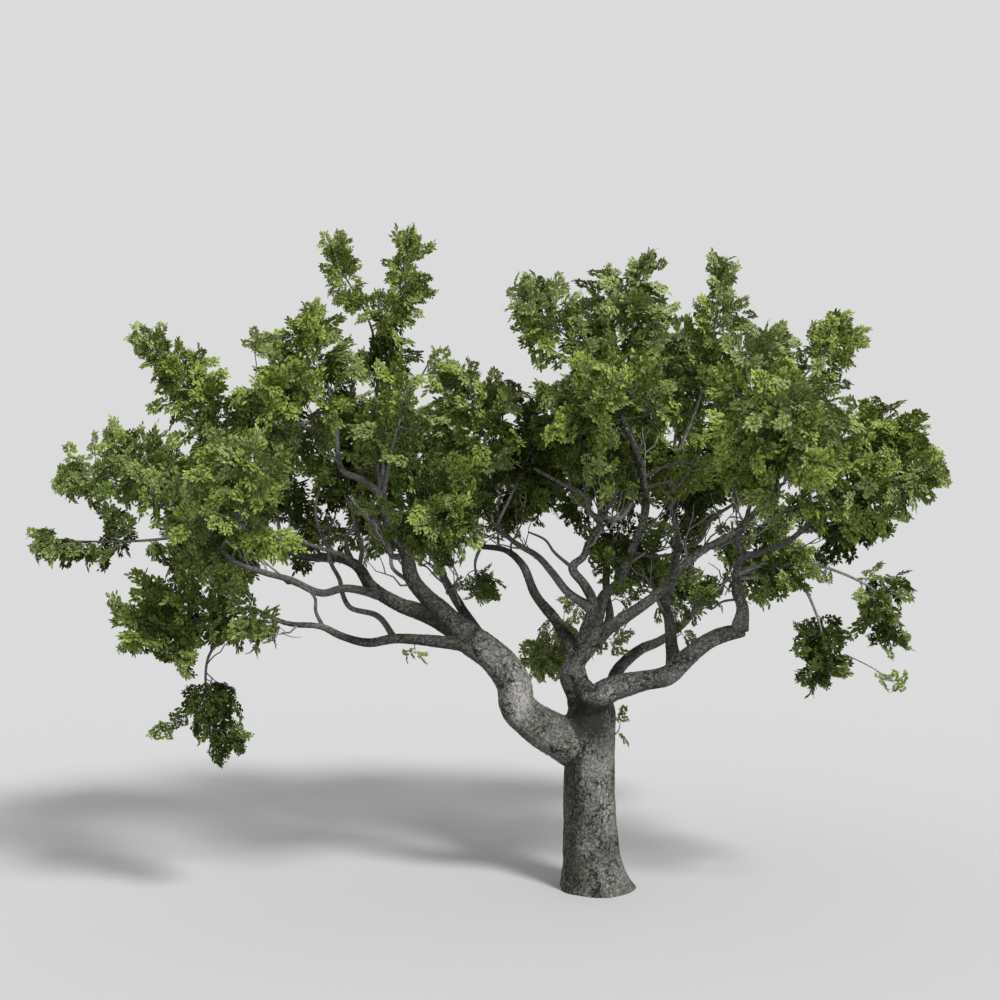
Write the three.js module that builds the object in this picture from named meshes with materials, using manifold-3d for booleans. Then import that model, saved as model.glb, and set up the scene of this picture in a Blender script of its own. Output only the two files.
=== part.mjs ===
// An open-grown oak: a short trunk that forks low, wide crooked boughs and an open leafy crown.
// Millimetres, +X to the viewer's right, +Y away from the viewer, +Z up.
// The origin is the middle of the flat cut under the trunk, at ground level.
import * as THREE from 'three';
import { mergeVertices } from 'three/addons/utils/BufferGeometryUtils.js';
import Module from 'manifold-3d';

const wasm = await Module();
wasm.setup();

// Driving dimensions.
const air = 0.3; // left between two pieces that meet
const seedStart = 41; // each mass grows from its own seed, counted up from this one

const trunk = {
  girth: 650, // across the clear stem
  topGirth: 636,
  crotchRound: 0.12, // the last share of the height rounds over into the crotch
  crotchNarrowing: 0.25, // lost of the girth at the very top
  flareOut: 150, // how far the root flare spreads past the clear stem at the ground
  flareHeight: 290, // the flare has faded to a third at this height
  rightFlare: 0.6, // the flare is that much wider to the right and narrower to the left
  buttresses: 5,
  buttressDepth: 0.05,
  axis: [[-85, 0, 0], [-88, 0, 300], [-92, 0, 700], [-98, 0, 1250], [-92, 0, 1780], [-75, 0, 2100],
    [-50, 0, 2360]],
};

// A limb leaves its parent at a share of the parent's length, passes its elbows and ends at its tip.
// Its girths are the diameters at its foot and at its tip. Thick limbs come first in each crotch.
const limbs = {
  left_bough: {
    on: 'trunk', at: 0.74, girth: [520, 380],
    elbows: [[-620, -120, 1970], [-980, -200, 2260], [-1050, -220, 2580], [-1310, -180, 2920]],
    tip: [-1660, -100, 3150],
  },
  left_leader: {
    on: 'left_bough', at: 0.93, girth: [290, 110],
    elbows: [[-1950, -250, 3490], [-2280, -300, 3850], [-2370, -320, 4200], [-2580, -360, 4540]],
    tip: [-2670, -400, 4950],
  },
  mid_left_limb: {
    on: 'left_bough', at: 0.9, girth: [300, 76],
    elbows: [[-2090, 120, 3380], [-2500, 220, 3520], [-2840, 320, 3720], [-3040, 420, 3990],
      [-3330, 500, 4100], [-3730, 600, 4100]],
    tip: [-4100, 700, 4230],
  },
  low_left_limb: {
    on: 'left_bough', at: 0.88, girth: [190, 50],
    elbows: [[-2070, -300, 3110], [-2470, -450, 3150], [-2820, -550, 3110], [-3140, -650, 3210],
      [-3340, -750, 3320], [-3750, -900, 3380]],
    tip: [-4130, -1000, 3570],
  },
  left_fork_limb: {
    on: 'mid_left_limb', at: 0.47, girth: [120, 50],
    elbows: [[-3160, 60, 3730], [-3420, -100, 3680], [-3760, -500, 3870], [-4050, -800, 3980],
      [-4370, -1000, 4130]],
    tip: [-4600, -1100, 4450],
  },
  crest_limb: {
    on: 'left_leader', at: 0.98, girth: [96, 44],
    elbows: [[-2900, -460, 5090], [-3120, -500, 5190], [-3190, -500, 5470], [-3200, -500, 5810]],
    tip: [-3290, -500, 6170],
  },
  left_back_limb: {
    on: 'left_bough', at: 0.8, girth: [180, 80],
    elbows: [[-1700, 600, 3420], [-2020, 1300, 3900]],
    tip: [-2260, 2000, 4490],
  },
  centre_stem: {
    on: 'trunk', at: 0.9, girth: [380, 200],
    elbows: [[-190, 70, 2400], [-310, 60, 2620], [-250, 20, 2840], [-90, 0, 3030]],
    tip: [0, 0, 3190],
  },
  tall_limb: {
    on: 'centre_stem', at: 0.93, girth: [170, 72],
    elbows: [[30, 50, 3430], [90, 80, 3630], [270, 100, 3780], [380, 100, 4020], [470, 100, 4270],
      [580, 50, 4560], [610, 0, 4870], [530, -100, 5310], [370, -200, 5680]],
    tip: [220, -300, 5970],
  },
  knee_limb: {
    on: 'centre_stem', at: 0.73, girth: [180, 56],
    elbows: [[-140, -90, 3240], [-60, -120, 3560], [-160, -120, 3780], [-320, -110, 4000],
      [-170, -130, 4140], [-120, -150, 4300], [10, -200, 4520], [110, -250, 4750]],
    tip: [250, -300, 5000],
  },
  long_right_limb: {
    on: 'centre_stem', at: 0.88, girth: [190, 44],
    elbows: [[230, -250, 3330], [500, -400, 3530], [780, -520, 3770], [1010, -620, 4050],
      [1260, -720, 4260], [1580, -850, 4460], [1860, -950, 4740]],
    tip: [2130, -1050, 5050],
  },
  inner_stem: {
    on: 'centre_stem', at: 0.8, girth: [130, 70],
    elbows: [[180, 350, 3310], [160, 500, 3620], [160, 600, 3930], [200, 700, 4210], [120, 850, 4440]],
    tip: [110, 1050, 4730],
  },
  low_back_left_limb: {
    on: 'centre_stem', at: 0.68, girth: [190, 70],
    elbows: [[-510, 500, 3310], [-750, 800, 3600], [-910, 1100, 3970], [-1140, 1400, 4160]],
    tip: [-1560, 1800, 4200],
  },
  upper_left_limb: {
    on: 'knee_limb', at: 0.25, girth: [130, 50],
    elbows: [[-360, 0, 3680], [-560, 0, 3930], [-740, 0, 4130], [-1020, 50, 4300]],
    tip: [-1310, 100, 4550],
  },
  right_bough: {
    on: 'trunk', at: 0.92, girth: [330, 180],
    elbows: [[40, -140, 2400], [230, -240, 2530], [510, -300, 2610], [840, -400, 2700],
      [1070, -500, 2940], [1370, -580, 3170]],
    tip: [1730, -600, 3280],
  },
  right_upright: {
    on: 'right_bough', at: 0.975, girth: [176, 50],
    elbows: [[1710, -620, 3540], [1630, -650, 3750], [1650, -700, 4030], [1690, -720, 4200],
      [1630, -750, 4360], [1720, -800, 4600]],
    tip: [1780, -850, 4870],
  },
  right_reach: {
    on: 'right_upright', at: 0.55, girth: [88, 50],
    elbows: [[1950, -800, 4220], [2220, -900, 4360], [2460, -1000, 4580]],
    tip: [2730, -1050, 4760],
  },
  back_right_stem: {
    on: 'right_bough', at: 0.57, girth: [180, 62],
    elbows: [[910, -200, 3050], [900, 0, 3360], [780, 300, 3690], [730, 550, 4040], [870, 800, 4380]],
    tip: [1010, 1000, 4670],
  },
  back_right_fork: {
    on: 'back_right_stem', at: 0.38, girth: [120, 62],
    elbows: [[970, 300, 3780], [1050, 400, 4200], [1050, 500, 4520], [990, 600, 4840]],
    tip: [1020, 700, 5230],
  },
  back_low_limb: {
    on: 'trunk', at: 0.84, girth: [220, 70],
    elbows: [[150, 300, 2320], [300, 480, 2650], [620, 800, 2880], [910, 1100, 2960], [1330, 1700, 3160]],
    tip: [1650, 2200, 3430],
  },
};

// A mass of foliage grows from one stem, which leaves a limb near its tip and ends at the mass's furthest
// leaf. The breadth is how far the foliage spreads round the leafy part of the stem.
const masses = {
  far_left: { on: 'left_fork_limb', at: 1, breadth: 400, bare: 0.36,
    elbows: [[-5540, -900, 4350]], tip: [-6850, -900, 4360] },
  left_shoulder: { on: 'left_fork_limb', at: 0.97, breadth: 520, bare: 0.25,
    elbows: [[-5430, -1150, 4960]], tip: [-6500, -1000, 5300] },
  upper_left: { on: 'left_fork_limb', at: 0.99, breadth: 580, bare: 0.3,
    elbows: [[-4560, -1000, 5480]], tip: [-5480, -700, 6860] },
  front_left: { on: 'left_fork_limb', at: 0.92, breadth: 1090, bare: 0.3,
    elbows: [[-4130, -1700, 4700]], tip: [-4040, -2450, 5600] },
  left_rise: { on: 'mid_left_limb', at: 1, breadth: 640, bare: 0.25,
    elbows: [[-5110, 700, 4840]], tip: [-6480, 600, 5690] },
  back_upper_left: { on: 'mid_left_limb', at: 0.98, breadth: 860, bare: 0.3,
    elbows: [[-4280, 900, 5600]], tip: [-4360, 900, 6800] },
  back_left: { on: 'mid_left_limb', at: 0.95, breadth: 980, bare: 0.25,
    elbows: [[-4920, 1700, 4320]], tip: [-5880, 2600, 4440] },
  low_left: { on: 'low_left_limb', at: 1, breadth: 800, bare: 0.05,
    elbows: [[-4840, -1150, 3420]], tip: [-5850, -1050, 3190] },
  low_hang: { on: 'low_left_limb', at: 0.97, breadth: 520, bare: 0.42,
    elbows: [[-4260, -1030, 3330], [-4640, -1000, 3010]], tip: [-4560, -1000, 1630] },
  crest: { on: 'crest_limb', at: 1, breadth: 840, bare: 0.1,
    elbows: [[-3400, -600, 6650]], tip: [-3630, -500, 7190] },
  crest_left: { on: 'crest_limb', at: 0.8, breadth: 870, bare: 0.2,
    elbows: [[-3660, -1200, 5750]], tip: [-4360, -1500, 6330] },
  spire_left: { on: 'left_leader', at: 1, breadth: 370, bare: 0.4,
    elbows: [[-2760, 0, 5590], [-2820, 100, 6970]], tip: [-3460, 0, 8110] },
  spire_right: { on: 'left_leader', at: 0.98, breadth: 410, bare: 0.44,
    elbows: [[-2640, -150, 5580], [-2560, 0, 6960]], tip: [-2310, 100, 8340] },
  spire_side: { on: 'left_leader', at: 0.95, breadth: 780, bare: 0.25,
    elbows: [[-2420, -600, 5800]], tip: [-1900, -700, 6780] },
  front_inner: { on: 'left_leader', at: 0.66, breadth: 780, bare: 0.35,
    elbows: [[-2180, -1000, 4720]], tip: [-1600, -2100, 4600] },
  inner: { on: 'left_leader', at: 0.44, breadth: 940, bare: 0.38,
    elbows: [[-2550, 0, 3980], [-2620, 300, 4200], [-3030, 950, 4680], [-3220, 1200, 5510]],
    tip: [-3320, 1500, 6400] },
  back_mid_left: { on: 'left_back_limb', at: 1, breadth: 1060, bare: 0.15,
    elbows: [[-2430, 2500, 5450]], tip: [-2700, 3000, 6420] },
  middle_top: { on: 'upper_left_limb', at: 1, breadth: 800, bare: 0.25,
    elbows: [[-1400, 0, 5590]], tip: [-1770, -300, 6590] },
  middle_right: { on: 'upper_left_limb', at: 0.96, breadth: 740, bare: 0.3,
    elbows: [[-890, 400, 5300]], tip: [-650, 500, 6080] },
  middle_back: { on: 'low_back_left_limb', at: 1, breadth: 1000, bare: 0.2,
    elbows: [[-1450, 2250, 4750]], tip: [-380, 2900, 5250] },
  back_hanging: { on: 'low_back_left_limb', at: 0.96, breadth: 520, bare: 0.2,
    elbows: [[-1560, 1950, 3920]], tip: [-1400, 2050, 3300] },
  low_back: { on: 'low_back_left_limb', at: 0.3, breadth: 480, bare: 0.1,
    elbows: [[-470, 750, 3010]], tip: [-800, 1000, 2480] },
  overhang: { on: 'tall_limb', at: 1, breadth: 720, bare: 0.15,
    elbows: [[-110, -400, 6550]], tip: [-1150, -600, 7410] },
  top_centre: { on: 'tall_limb', at: 0.98, breadth: 700, bare: 0.2,
    elbows: [[170, -400, 6790]], tip: [560, -400, 7910] },
  centre_front: { on: 'tall_limb', at: 0.9, breadth: 1010, bare: 0.25,
    elbows: [[-60, -1400, 5760]], tip: [-130, -2500, 6050] },
  top_right: { on: 'back_right_fork', at: 1, breadth: 500, bare: 0.35,
    elbows: [[1440, 600, 6390]], tip: [1630, 300, 8000] },
  top_back: { on: 'back_right_fork', at: 0.97, breadth: 980, bare: 0.2,
    elbows: [[1190, 1200, 6170]], tip: [1410, 1900, 7180] },
  right_top: { on: 'right_upright', at: 1, breadth: 540, bare: 0.35,
    elbows: [[2160, -700, 5950]], tip: [3200, -300, 7060] },
  right_front: { on: 'long_right_limb', at: 1, breadth: 1060, bare: 0.15,
    elbows: [[2060, -1700, 5510]], tip: [1940, -2650, 5910] },
  right_crown: { on: 'long_right_limb', at: 0.97, breadth: 920, bare: 0.25,
    elbows: [[1870, -1000, 6020]], tip: [1900, -900, 7000] },
  right_far: { on: 'right_reach', at: 1, breadth: 640, bare: 0.2,
    elbows: [[3380, -1000, 5070]], tip: [4130, -800, 5240] },
  right_shoulder: { on: 'right_reach', at: 0.96, breadth: 660, bare: 0.2,
    elbows: [[3100, -450, 5380]], tip: [4120, -100, 5700] },
  right_low: { on: 'right_reach', at: 0.9, breadth: 600, bare: 0.25,
    elbows: [[2920, -450, 4560]], tip: [3600, -150, 4330] },
  under_right: { on: 'right_upright', at: 0.42, breadth: 560, bare: 0.2,
    elbows: [[1970, -1200, 4080]], tip: [2230, -1600, 3620] },
  hanging_right: { on: 'right_upright', at: 0.39, breadth: 450, bare: 0.52,
    elbows: [[2270, -900, 3910], [2520, -1000, 3480]], tip: [2650, -1100, 2560] },
  hanging_far_right: { on: 'right_upright', at: 0.45, breadth: 480, bare: 0.58,
    elbows: [[2300, -800, 4110], [3060, -750, 3880], [3380, -700, 3640]], tip: [3520, -600, 2980] },
  back_right: { on: 'back_right_stem', at: 1, breadth: 1120, bare: 0.2,
    elbows: [[1940, 1700, 5390]], tip: [3080, 2500, 6120] },
  back_centre: { on: 'inner_stem', at: 1, breadth: 1090, bare: 0.2,
    elbows: [[250, 1600, 5050], [200, 2100, 5500]], tip: [250, 3100, 6370] },
  back_low_right: { on: 'back_low_limb', at: 1, breadth: 950, bare: 0.15,
    elbows: [[2240, 2600, 3830]], tip: [3160, 3100, 4400] },
};

// How every mass branches.
const growth = {
  limbTaper: 0.8, // below 1, a limb thins quickly at first and then holds its girth
  stemGirth: [74, 40],
  twigGirth: [30, 20],
  twigStep: 80, // along the stem between one twig and the next
  twigSpread: [46, 74], // degrees between a twig and its stem
  goldenTurn: 137.5, // degrees round the stem from one twig to the next
  turnLuck: 20, // degrees either way
  massTurn: 60, // degrees that each mass's first twig is turned on from the last mass's
  twigReach: [0.8, 1], // a twig's spray ends at this share of the way to the edge of the space
  shortestTwig: 150,
  sprayPlaces: [0.7, 0.25], // shares of the twig's length that carry a side spray
  secondSpray: 400, // a twig shorter than this has only the first of them
  sprayTurn: [44, 60], // degrees between a side spray and its twig
  sunkShare: 0.97, // a twig's last spray is rooted at this share of its length
  sprayLength: 1000, // a spray is a fan of leaves on one twiglet
  sprayBreadth: 0.7, // of its length
  sprayThickness: 0.12, // of its length, at its middle
  spraySizes: [1, 0.8, 0.65, 0.5], // tried in turn until one fits its space
  tipReach: 750, // from the end of a stem to its mass's tip
  faceLift: [0, 1.2], // how far a spray's face turns upward
  spaceMargin: 0.03, // of the breadth, kept from the neighbouring mass
  clearance: 6, // kept from any limb, strange stem or other spray
};

// Small helpers.
const point = ([x, y, z]) => new THREE.Vector3(x, y, z);
const up = new THREE.Vector3(0, 0, 1);

function seeded(seed) {
  let state = Math.imul(seed, 2654435761) >>> 0;
  return (low = 0, high = 1) => {
    state = (Math.imul(state, 1664525) + 1013904223) >>> 0;
    return low + ((high - low) * state) / 4294967296;
  };
}

function solidFrom(geometry) {
  geometry.deleteAttribute('normal');
  geometry.deleteAttribute('uv');
  const merged = mergeVertices(geometry);
  return new wasm.Manifold(new wasm.Mesh({
    numProp: 3,
    vertProperties: merged.attributes.position.array,
    triVerts: new Uint32Array(merged.index.array),
  }));
}

// The largest closed piece of a solid: a loose scrap or a sealed hollow is dropped.
function largestPiece(solid) {
  return solid.decompose().reduce((a, b) => (a.volume() > b.volume() ? a : b));
}

function geometryFrom(solid) {
  const mesh = solid.getMesh();
  const geometry = new THREE.BufferGeometry();
  geometry.setAttribute('position', new THREE.BufferAttribute(mesh.vertProperties, 3));
  geometry.setIndex(new THREE.BufferAttribute(mesh.triVerts, 1));
  geometry.computeVertexNormals();
  return geometry;
}

// A solid with its box, for quick tests of what meets what.
function boxed(solid) {
  return { solid, box: solid.boundingBox() };
}

function meets(first, second) {
  const near = [0, 1, 2].every((i) => (
    first.box.min[i] <= second.box.max[i] && second.box.min[i] <= first.box.max[i]));
  return near && !first.solid.intersect(second.solid).isEmpty();
}

// Limbs.
// A straight cylinder whose rings are laid along a curve. radius(share, outward) gives each corner, and
// both ends reach further by extra.
function tubeAlong(curve, radius, sides, rings, extra) {
  const geometry = new THREE.CylinderGeometry(1, 1, 1, sides, rings);
  const { tangents, normals, binormals } = curve.computeFrenetFrames(rings);
  const past = { 0: -extra, [rings]: extra };
  const corners = geometry.attributes.position;
  for (let i = 0; i < corners.count; i += 1) {
    const share = corners.getY(i) + 0.5;
    const ring = Math.round(share * rings);
    const outward = new THREE.Vector3()
      .addScaledVector(normals[ring], corners.getX(i))
      .addScaledVector(binormals[ring], -corners.getZ(i));
    const corner = curve.getPointAt(share)
      .addScaledVector(outward, radius(share, outward))
      .addScaledVector(tangents[ring], past[ring] ?? 0);
    corners.setXYZ(i, corner.x, corner.y, corner.z);
  }
  return geometry;
}

function trunkRadius(extra) {
  return (share, outward) => {
    const heading = Math.atan2(outward.y, outward.x);
    const height = share * trunk.axis.at(-1)[2];
    const clear = THREE.MathUtils.lerp(trunk.girth, trunk.topGirth, share) / 2;
    const fade = Math.exp(-height / trunk.flareHeight);
    const rounded = Math.max(0, (share - 1 + trunk.crotchRound) / trunk.crotchRound);
    const lobes = 1 + trunk.buttressDepth * fade * Math.cos(trunk.buttresses * heading);
    const flare = trunk.flareOut * fade * (1 + trunk.rightFlare * Math.cos(heading));
    return clear * lobes * (1 - trunk.crotchNarrowing * rounded ** 2) + flare + extra;
  };
}

function trunkSolid(extra) {
  const curve = new THREE.CatmullRomCurve3(trunk.axis.map(point));
  const geometry = tubeAlong(curve, trunkRadius(extra), 16, 10, extra);
  const corners = geometry.attributes.position;
  for (let i = 0; i < corners.count; i += 1) {
    if (corners.getZ(i) < trunk.flareHeight / 3) corners.setZ(i, 0); // the flat cut at ground level
  }
  return solidFrom(geometry);
}

function limbSolid(limb, extra) {
  const sides = limb.girth[0] > 250 ? 10 : limb.girth[0] > 125 ? 7 : 5;
  const rings = Math.round((limb.elbows.length + 1) * (limb.girth[0] > 250 ? 1.5 : 1.25));
  return solidFrom(tubeAlong(limb.curve, (share) => limb.radius(share) + extra, sides, rings, extra));
}

// The route, thickness and axis points of a limb or stem, from its parent and its named sizes.
function routed(spec, parentCurve, taper) {
  const foot = parentCurve.getPointAt(spec.at);
  const curve = new THREE.CatmullRomCurve3([foot, ...spec.elbows.map(point), point(spec.tip)]);
  const [footGirth, tipGirth] = spec.girth;
  const radius = (share) => THREE.MathUtils.lerp(footGirth, tipGirth, share ** taper) / 2;
  return { ...spec, curve, radius };
}

// The space that a mass may fill.
function distanceTo(line, place) {
  const near = new THREE.Vector3();
  const distances = line.slice(1).map((end, i) => (
    new THREE.Line3(line[i], end).closestPointToPoint(place, true, near).distanceTo(place)));
  return Math.min(...distances);
}

// How far out in a mass's space a place lies: 0 on its stem, 1 at its edge.
const fill = (place, mass) => distanceTo(mass.leafyLine, place) / mass.breadth;

function ownSpace(place, mass) {
  const own = fill(place, mass);
  const clearOf = (other) => other === mass || fill(place, other) > own + growth.spaceMargin;
  return own <= 1 && grownMasses.every(clearOf);
}

// How far one can go from a place in a direction before the mass's space ends.
function roomAlong(from, direction, mass) {
  const step = 60;
  let far = 0;
  while (ownSpace(from.clone().addScaledVector(direction, far + step), mass)) far += step;
  return far;
}

// Twigs and sprays.
// An eight-sided spray from its root, drawn larger on all sides by extra.
function spraySolid(root, direction, face, length, extra) {
  const geometry = new THREE.OctahedronGeometry(1);
  const across = new THREE.Vector3().crossVectors(face, direction).normalize();
  const normal = new THREE.Vector3().crossVectors(direction, across);
  const middle = root.clone().addScaledVector(direction, length / 2);
  geometry.applyMatrix4(new THREE.Matrix4().makeBasis(
    direction.clone().multiplyScalar(length / 2 + extra),
    across.clone().multiplyScalar((length * growth.sprayBreadth) / 2 + extra),
    normal.clone().multiplyScalar((length * growth.sprayThickness) / 2 + extra),
  ).setPosition(middle));
  return solidFrom(geometry);
}

// The corners and edge middles of a spray, without its root.
function sprayOutline(root, direction, face, length) {
  const across = new THREE.Vector3().crossVectors(face, direction).normalize();
  return [0.25, 0.5, 0.75, 1].flatMap((share) => {
    const place = root.clone().addScaledVector(direction, length * share);
    const side = ((length * growth.sprayBreadth) / 2) * (1 - Math.abs(2 * share - 1));
    return [side, -side].map((reach) => place.clone().addScaledVector(across, reach));
  });
}

// Adds a piece to its mass unless it would meet anything but what it grows from.
function placed(piece, roomy, mass, parents) {
  const test = boxed(roomy);
  const inTheWay = [...wood, ...foliage].filter((other) => !parents.includes(other));
  if (inTheWay.some((other) => meets(other, test))) return null;
  const kept = { ...boxed(piece), mass: mass.name };
  foliage.push(kept);
  return kept;
}

// The largest size of spray that fits at a place, if any does.
function growSpray(root, direction, face, mass, parents) {
  const lengths = growth.spraySizes.map((size) => size * growth.sprayLength);
  for (const length of lengths) {
    if (sprayOutline(root, direction, face, length).every((place) => ownSpace(place, mass))) {
      const piece = spraySolid(root, direction, face, length, 0);
      const roomy = spraySolid(root, direction, face, length, growth.clearance);
      if (placed(piece, roomy, mass, parents)) return;
    }
  }
}

function twigSolid(foot, direction, length, extra) {
  const [footGirth, tipGirth] = growth.twigGirth.map((girth) => girth / 2 + extra);
  const geometry = new THREE.CylinderGeometry(tipGirth, footGirth, length, 3, 1);
  geometry.translate(0, length / 2, 0);
  const upright = new THREE.Vector3(0, 1, 0);
  geometry.applyQuaternion(new THREE.Quaternion().setFromUnitVectors(upright, direction));
  geometry.translate(foot.x, foot.y, foot.z);
  return solidFrom(geometry);
}

// Sprays face every way round and a little upward, as they do on the outside of a crown.
function sprayFace(direction, random) {
  const turn = random(0, 2 * Math.PI);
  const face = new THREE.Vector3(Math.cos(turn), Math.sin(turn), random(...growth.faceLift));
  return face.addScaledVector(direction, -face.dot(direction)).normalize();
}

// A short way to the edge of the space takes one spray on the stem, a longer one a twig with several.
function growTwig(foot, direction, mass, random) {
  const face = sprayFace(direction, random);
  const room = roomAlong(foot, direction, mass) * random(...growth.twigReach);
  const length = room - growth.sprayLength * growth.spraySizes[1];
  const twig = length > growth.shortestTwig && placed(
    twigSolid(foot, direction, length, 0),
    twigSolid(foot, direction, length, growth.clearance),
    mass,
    [mass.stem],
  );
  if (!twig) {
    growSpray(foot, direction, face, mass, [mass.stem]);
    return;
  }
  const end = foot.clone().addScaledVector(direction, length * growth.sunkShare);
  growSpray(end, direction, face, mass, [twig]);
  growth.sprayPlaces.slice(0, length < growth.secondSpray ? 1 : 2).forEach((share, side) => {
    const turn = THREE.MathUtils.degToRad(random(...growth.sprayTurn) * (side ? -1 : 1));
    const place = foot.clone().addScaledVector(direction, length * share);
    growSpray(place, direction.clone().applyAxisAngle(face, turn), face, mass, [twig]);
  });
}

// The last spray ends at the mass's tip. Twigs leave the stem at even steps, each a golden turn round
// from the one before.
function growMass(mass, index) {
  const random = seeded(seedStart + index);
  const stemEnd = mass.curve.getPointAt(mass.stemShare * 0.99);
  const last = point(mass.tip).sub(stemEnd).normalize();
  const reach = point(mass.tip).distanceTo(stemEnd);
  const lastSpray = spraySolid(stemEnd, last, sprayFace(last, random), reach, 0);
  placed(lastSpray, lastSpray, mass, [mass.stem]);
  const steps = Math.max(2, Math.round(mass.leafyLength / growth.twigStep));
  for (let i = 0; i < steps; i += 1) {
    const share = THREE.MathUtils.lerp(mass.bare, mass.stemShare, (i + 0.5) / steps);
    const foot = mass.curve.getPointAt(share);
    const tangent = mass.curve.getTangentAt(share);
    const spread = THREE.MathUtils.degToRad(random(...growth.twigSpread));
    const luck = random(-growth.turnLuck, growth.turnLuck);
    const turn = THREE.MathUtils.degToRad(growth.goldenTurn * i + growth.massTurn * index + luck);
    const side = up.clone().cross(tangent).normalize().applyAxisAngle(tangent, turn);
    const direction = tangent.multiplyScalar(Math.cos(spread)).addScaledVector(side, Math.sin(spread));
    growTwig(foot, direction, mass, random);
  }
}

// Putting the tree together.
const materials = {
  bark: new THREE.MeshStandardMaterial({ color: 0x77756d, roughness: 0.95, metalness: 0 }),
  leaf: new THREE.MeshStandardMaterial({ color: 0x5f7430, roughness: 0.75, metalness: 0 }),
};
const tree = new THREE.Group();
const wood = []; // each limb and stem so far, swollen by the air gap
const foliage = []; // each twig and spray so far

function addNode(name, solid, material) {
  const mesh = new THREE.Mesh(geometryFrom(solid), material);
  mesh.name = name;
  tree.add(mesh);
}

// A limb or stem is cut back where it would enter the wood that stands already.
function seated(solid, swollenSolid) {
  const whole = boxed(solid);
  const cut = wood.filter((other) => meets(other, whole))
    .reduce((left, other) => left.subtract(other.solid), solid);
  const swollen = boxed(swollenSolid);
  wood.push(swollen);
  return { solid: largestPiece(cut), swollen };
}

wood.push(boxed(trunkSolid(air)));
addNode('trunk', trunkSolid(0), materials.bark);
const curves = { trunk: new THREE.CatmullRomCurve3(trunk.axis.map(point)) };
for (const [name, spec] of Object.entries(limbs)) {
  const limb = routed(spec, curves[spec.on], growth.limbTaper);
  curves[name] = limb.curve;
  addNode(name, seated(limbSolid(limb, 0), limbSolid(limb, air)).solid, materials.bark);
}

// Frames for the part of a mass's curve that its stem takes up.
function stemFrames(mass, rings) {
  const tangents = [];
  const normals = [];
  const binormals = [];
  for (let i = 0; i <= rings; i += 1) {
    const tangent = mass.curve.getTangentAt((i / rings) * mass.stemShare);
    const normal = new THREE.Vector3(0.31, 0.87, 0.38).cross(tangent).normalize();
    tangents.push(tangent);
    normals.push(normal);
    binormals.push(tangent.clone().cross(normal));
  }
  return { tangents, normals, binormals };
}

function stemSolid(mass, extra) {
  const stemCurve = {
    getPointAt: (share) => mass.curve.getPointAt(share * mass.stemShare),
    computeFrenetFrames: (rings) => stemFrames(mass, rings),
  };
  const rings = mass.elbows.length + 2;
  return solidFrom(tubeAlong(stemCurve, (share) => mass.radius(share) + extra, 3, rings, extra));
}

// Every stem stands before the first twig grows, so that each mass knows its neighbours' spaces.
const grownMasses = Object.entries(masses).map(([name, spec]) => {
  const mass = routed({ ...spec, girth: growth.stemGirth }, curves[spec.on], 1);
  const length = mass.curve.getLength();
  mass.name = name;
  mass.stemShare = 1 - growth.tipReach / length;
  mass.leafyLength = (mass.stemShare - mass.bare) * length;
  const spaceEnd = Math.max(mass.bare + 0.05, 1 - mass.breadth / length);
  mass.leafyLine = [0, 0.25, 0.5, 0.75, 1].map((share) => (
    mass.curve.getPointAt(THREE.MathUtils.lerp(mass.bare, spaceEnd, share))));
  const stem = seated(stemSolid(mass, 0), stemSolid(mass, air));
  mass.stem = stem.swollen;
  mass.stemSolid = stem.solid;
  return mass;
});

grownMasses.forEach((mass, index) => {
  growMass(mass, index);
  const joined = foliage.filter((piece) => piece.mass === mass.name)
    .reduce((whole, piece) => whole.add(piece.solid), mass.stemSolid);
  addNode(`${mass.name}_foliage`, largestPiece(joined), materials.leaf);
});

export default tree;
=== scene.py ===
import math
import bpy
import numpy as np
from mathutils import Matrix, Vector, noise


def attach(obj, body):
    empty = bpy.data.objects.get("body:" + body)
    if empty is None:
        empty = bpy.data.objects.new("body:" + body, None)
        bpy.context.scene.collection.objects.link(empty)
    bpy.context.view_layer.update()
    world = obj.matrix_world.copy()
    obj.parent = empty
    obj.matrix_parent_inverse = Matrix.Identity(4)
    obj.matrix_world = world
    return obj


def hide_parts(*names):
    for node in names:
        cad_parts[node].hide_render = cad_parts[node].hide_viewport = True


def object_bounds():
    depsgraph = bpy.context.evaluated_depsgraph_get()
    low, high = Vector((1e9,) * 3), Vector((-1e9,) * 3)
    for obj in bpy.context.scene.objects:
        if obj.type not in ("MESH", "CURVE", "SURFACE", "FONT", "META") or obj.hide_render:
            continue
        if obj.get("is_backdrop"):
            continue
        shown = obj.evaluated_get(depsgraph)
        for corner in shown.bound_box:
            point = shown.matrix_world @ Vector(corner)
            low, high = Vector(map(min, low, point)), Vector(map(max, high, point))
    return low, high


# An open-grown oak on a plain pale floor.
# Metres, +X to the viewer's right, +Y away from the viewer, +Z up, origin under the trunk.
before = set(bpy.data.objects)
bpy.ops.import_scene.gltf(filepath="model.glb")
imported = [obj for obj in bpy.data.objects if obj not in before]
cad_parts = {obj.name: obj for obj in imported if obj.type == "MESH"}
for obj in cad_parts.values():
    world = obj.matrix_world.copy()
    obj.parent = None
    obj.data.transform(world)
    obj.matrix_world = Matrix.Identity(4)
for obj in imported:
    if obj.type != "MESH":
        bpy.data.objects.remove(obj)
lowCorner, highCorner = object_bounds()
cadBox = [list(lowCorner), list(highCorner)]
scene = bpy.context.scene
print("frame loaded")

# Camera, level and square on to the tree
cameraView = {"place": (-1.2125, -17.36, 4.8375), "lens": 50, "sensor": 36}
bpy.ops.object.camera_add(location=cameraView["place"], rotation=(math.pi / 2, 0, 0))
camera = bpy.context.object
camera.data.lens = cameraView["lens"]
camera.data.sensor_width = cameraView["sensor"]
scene.camera = camera

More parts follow.
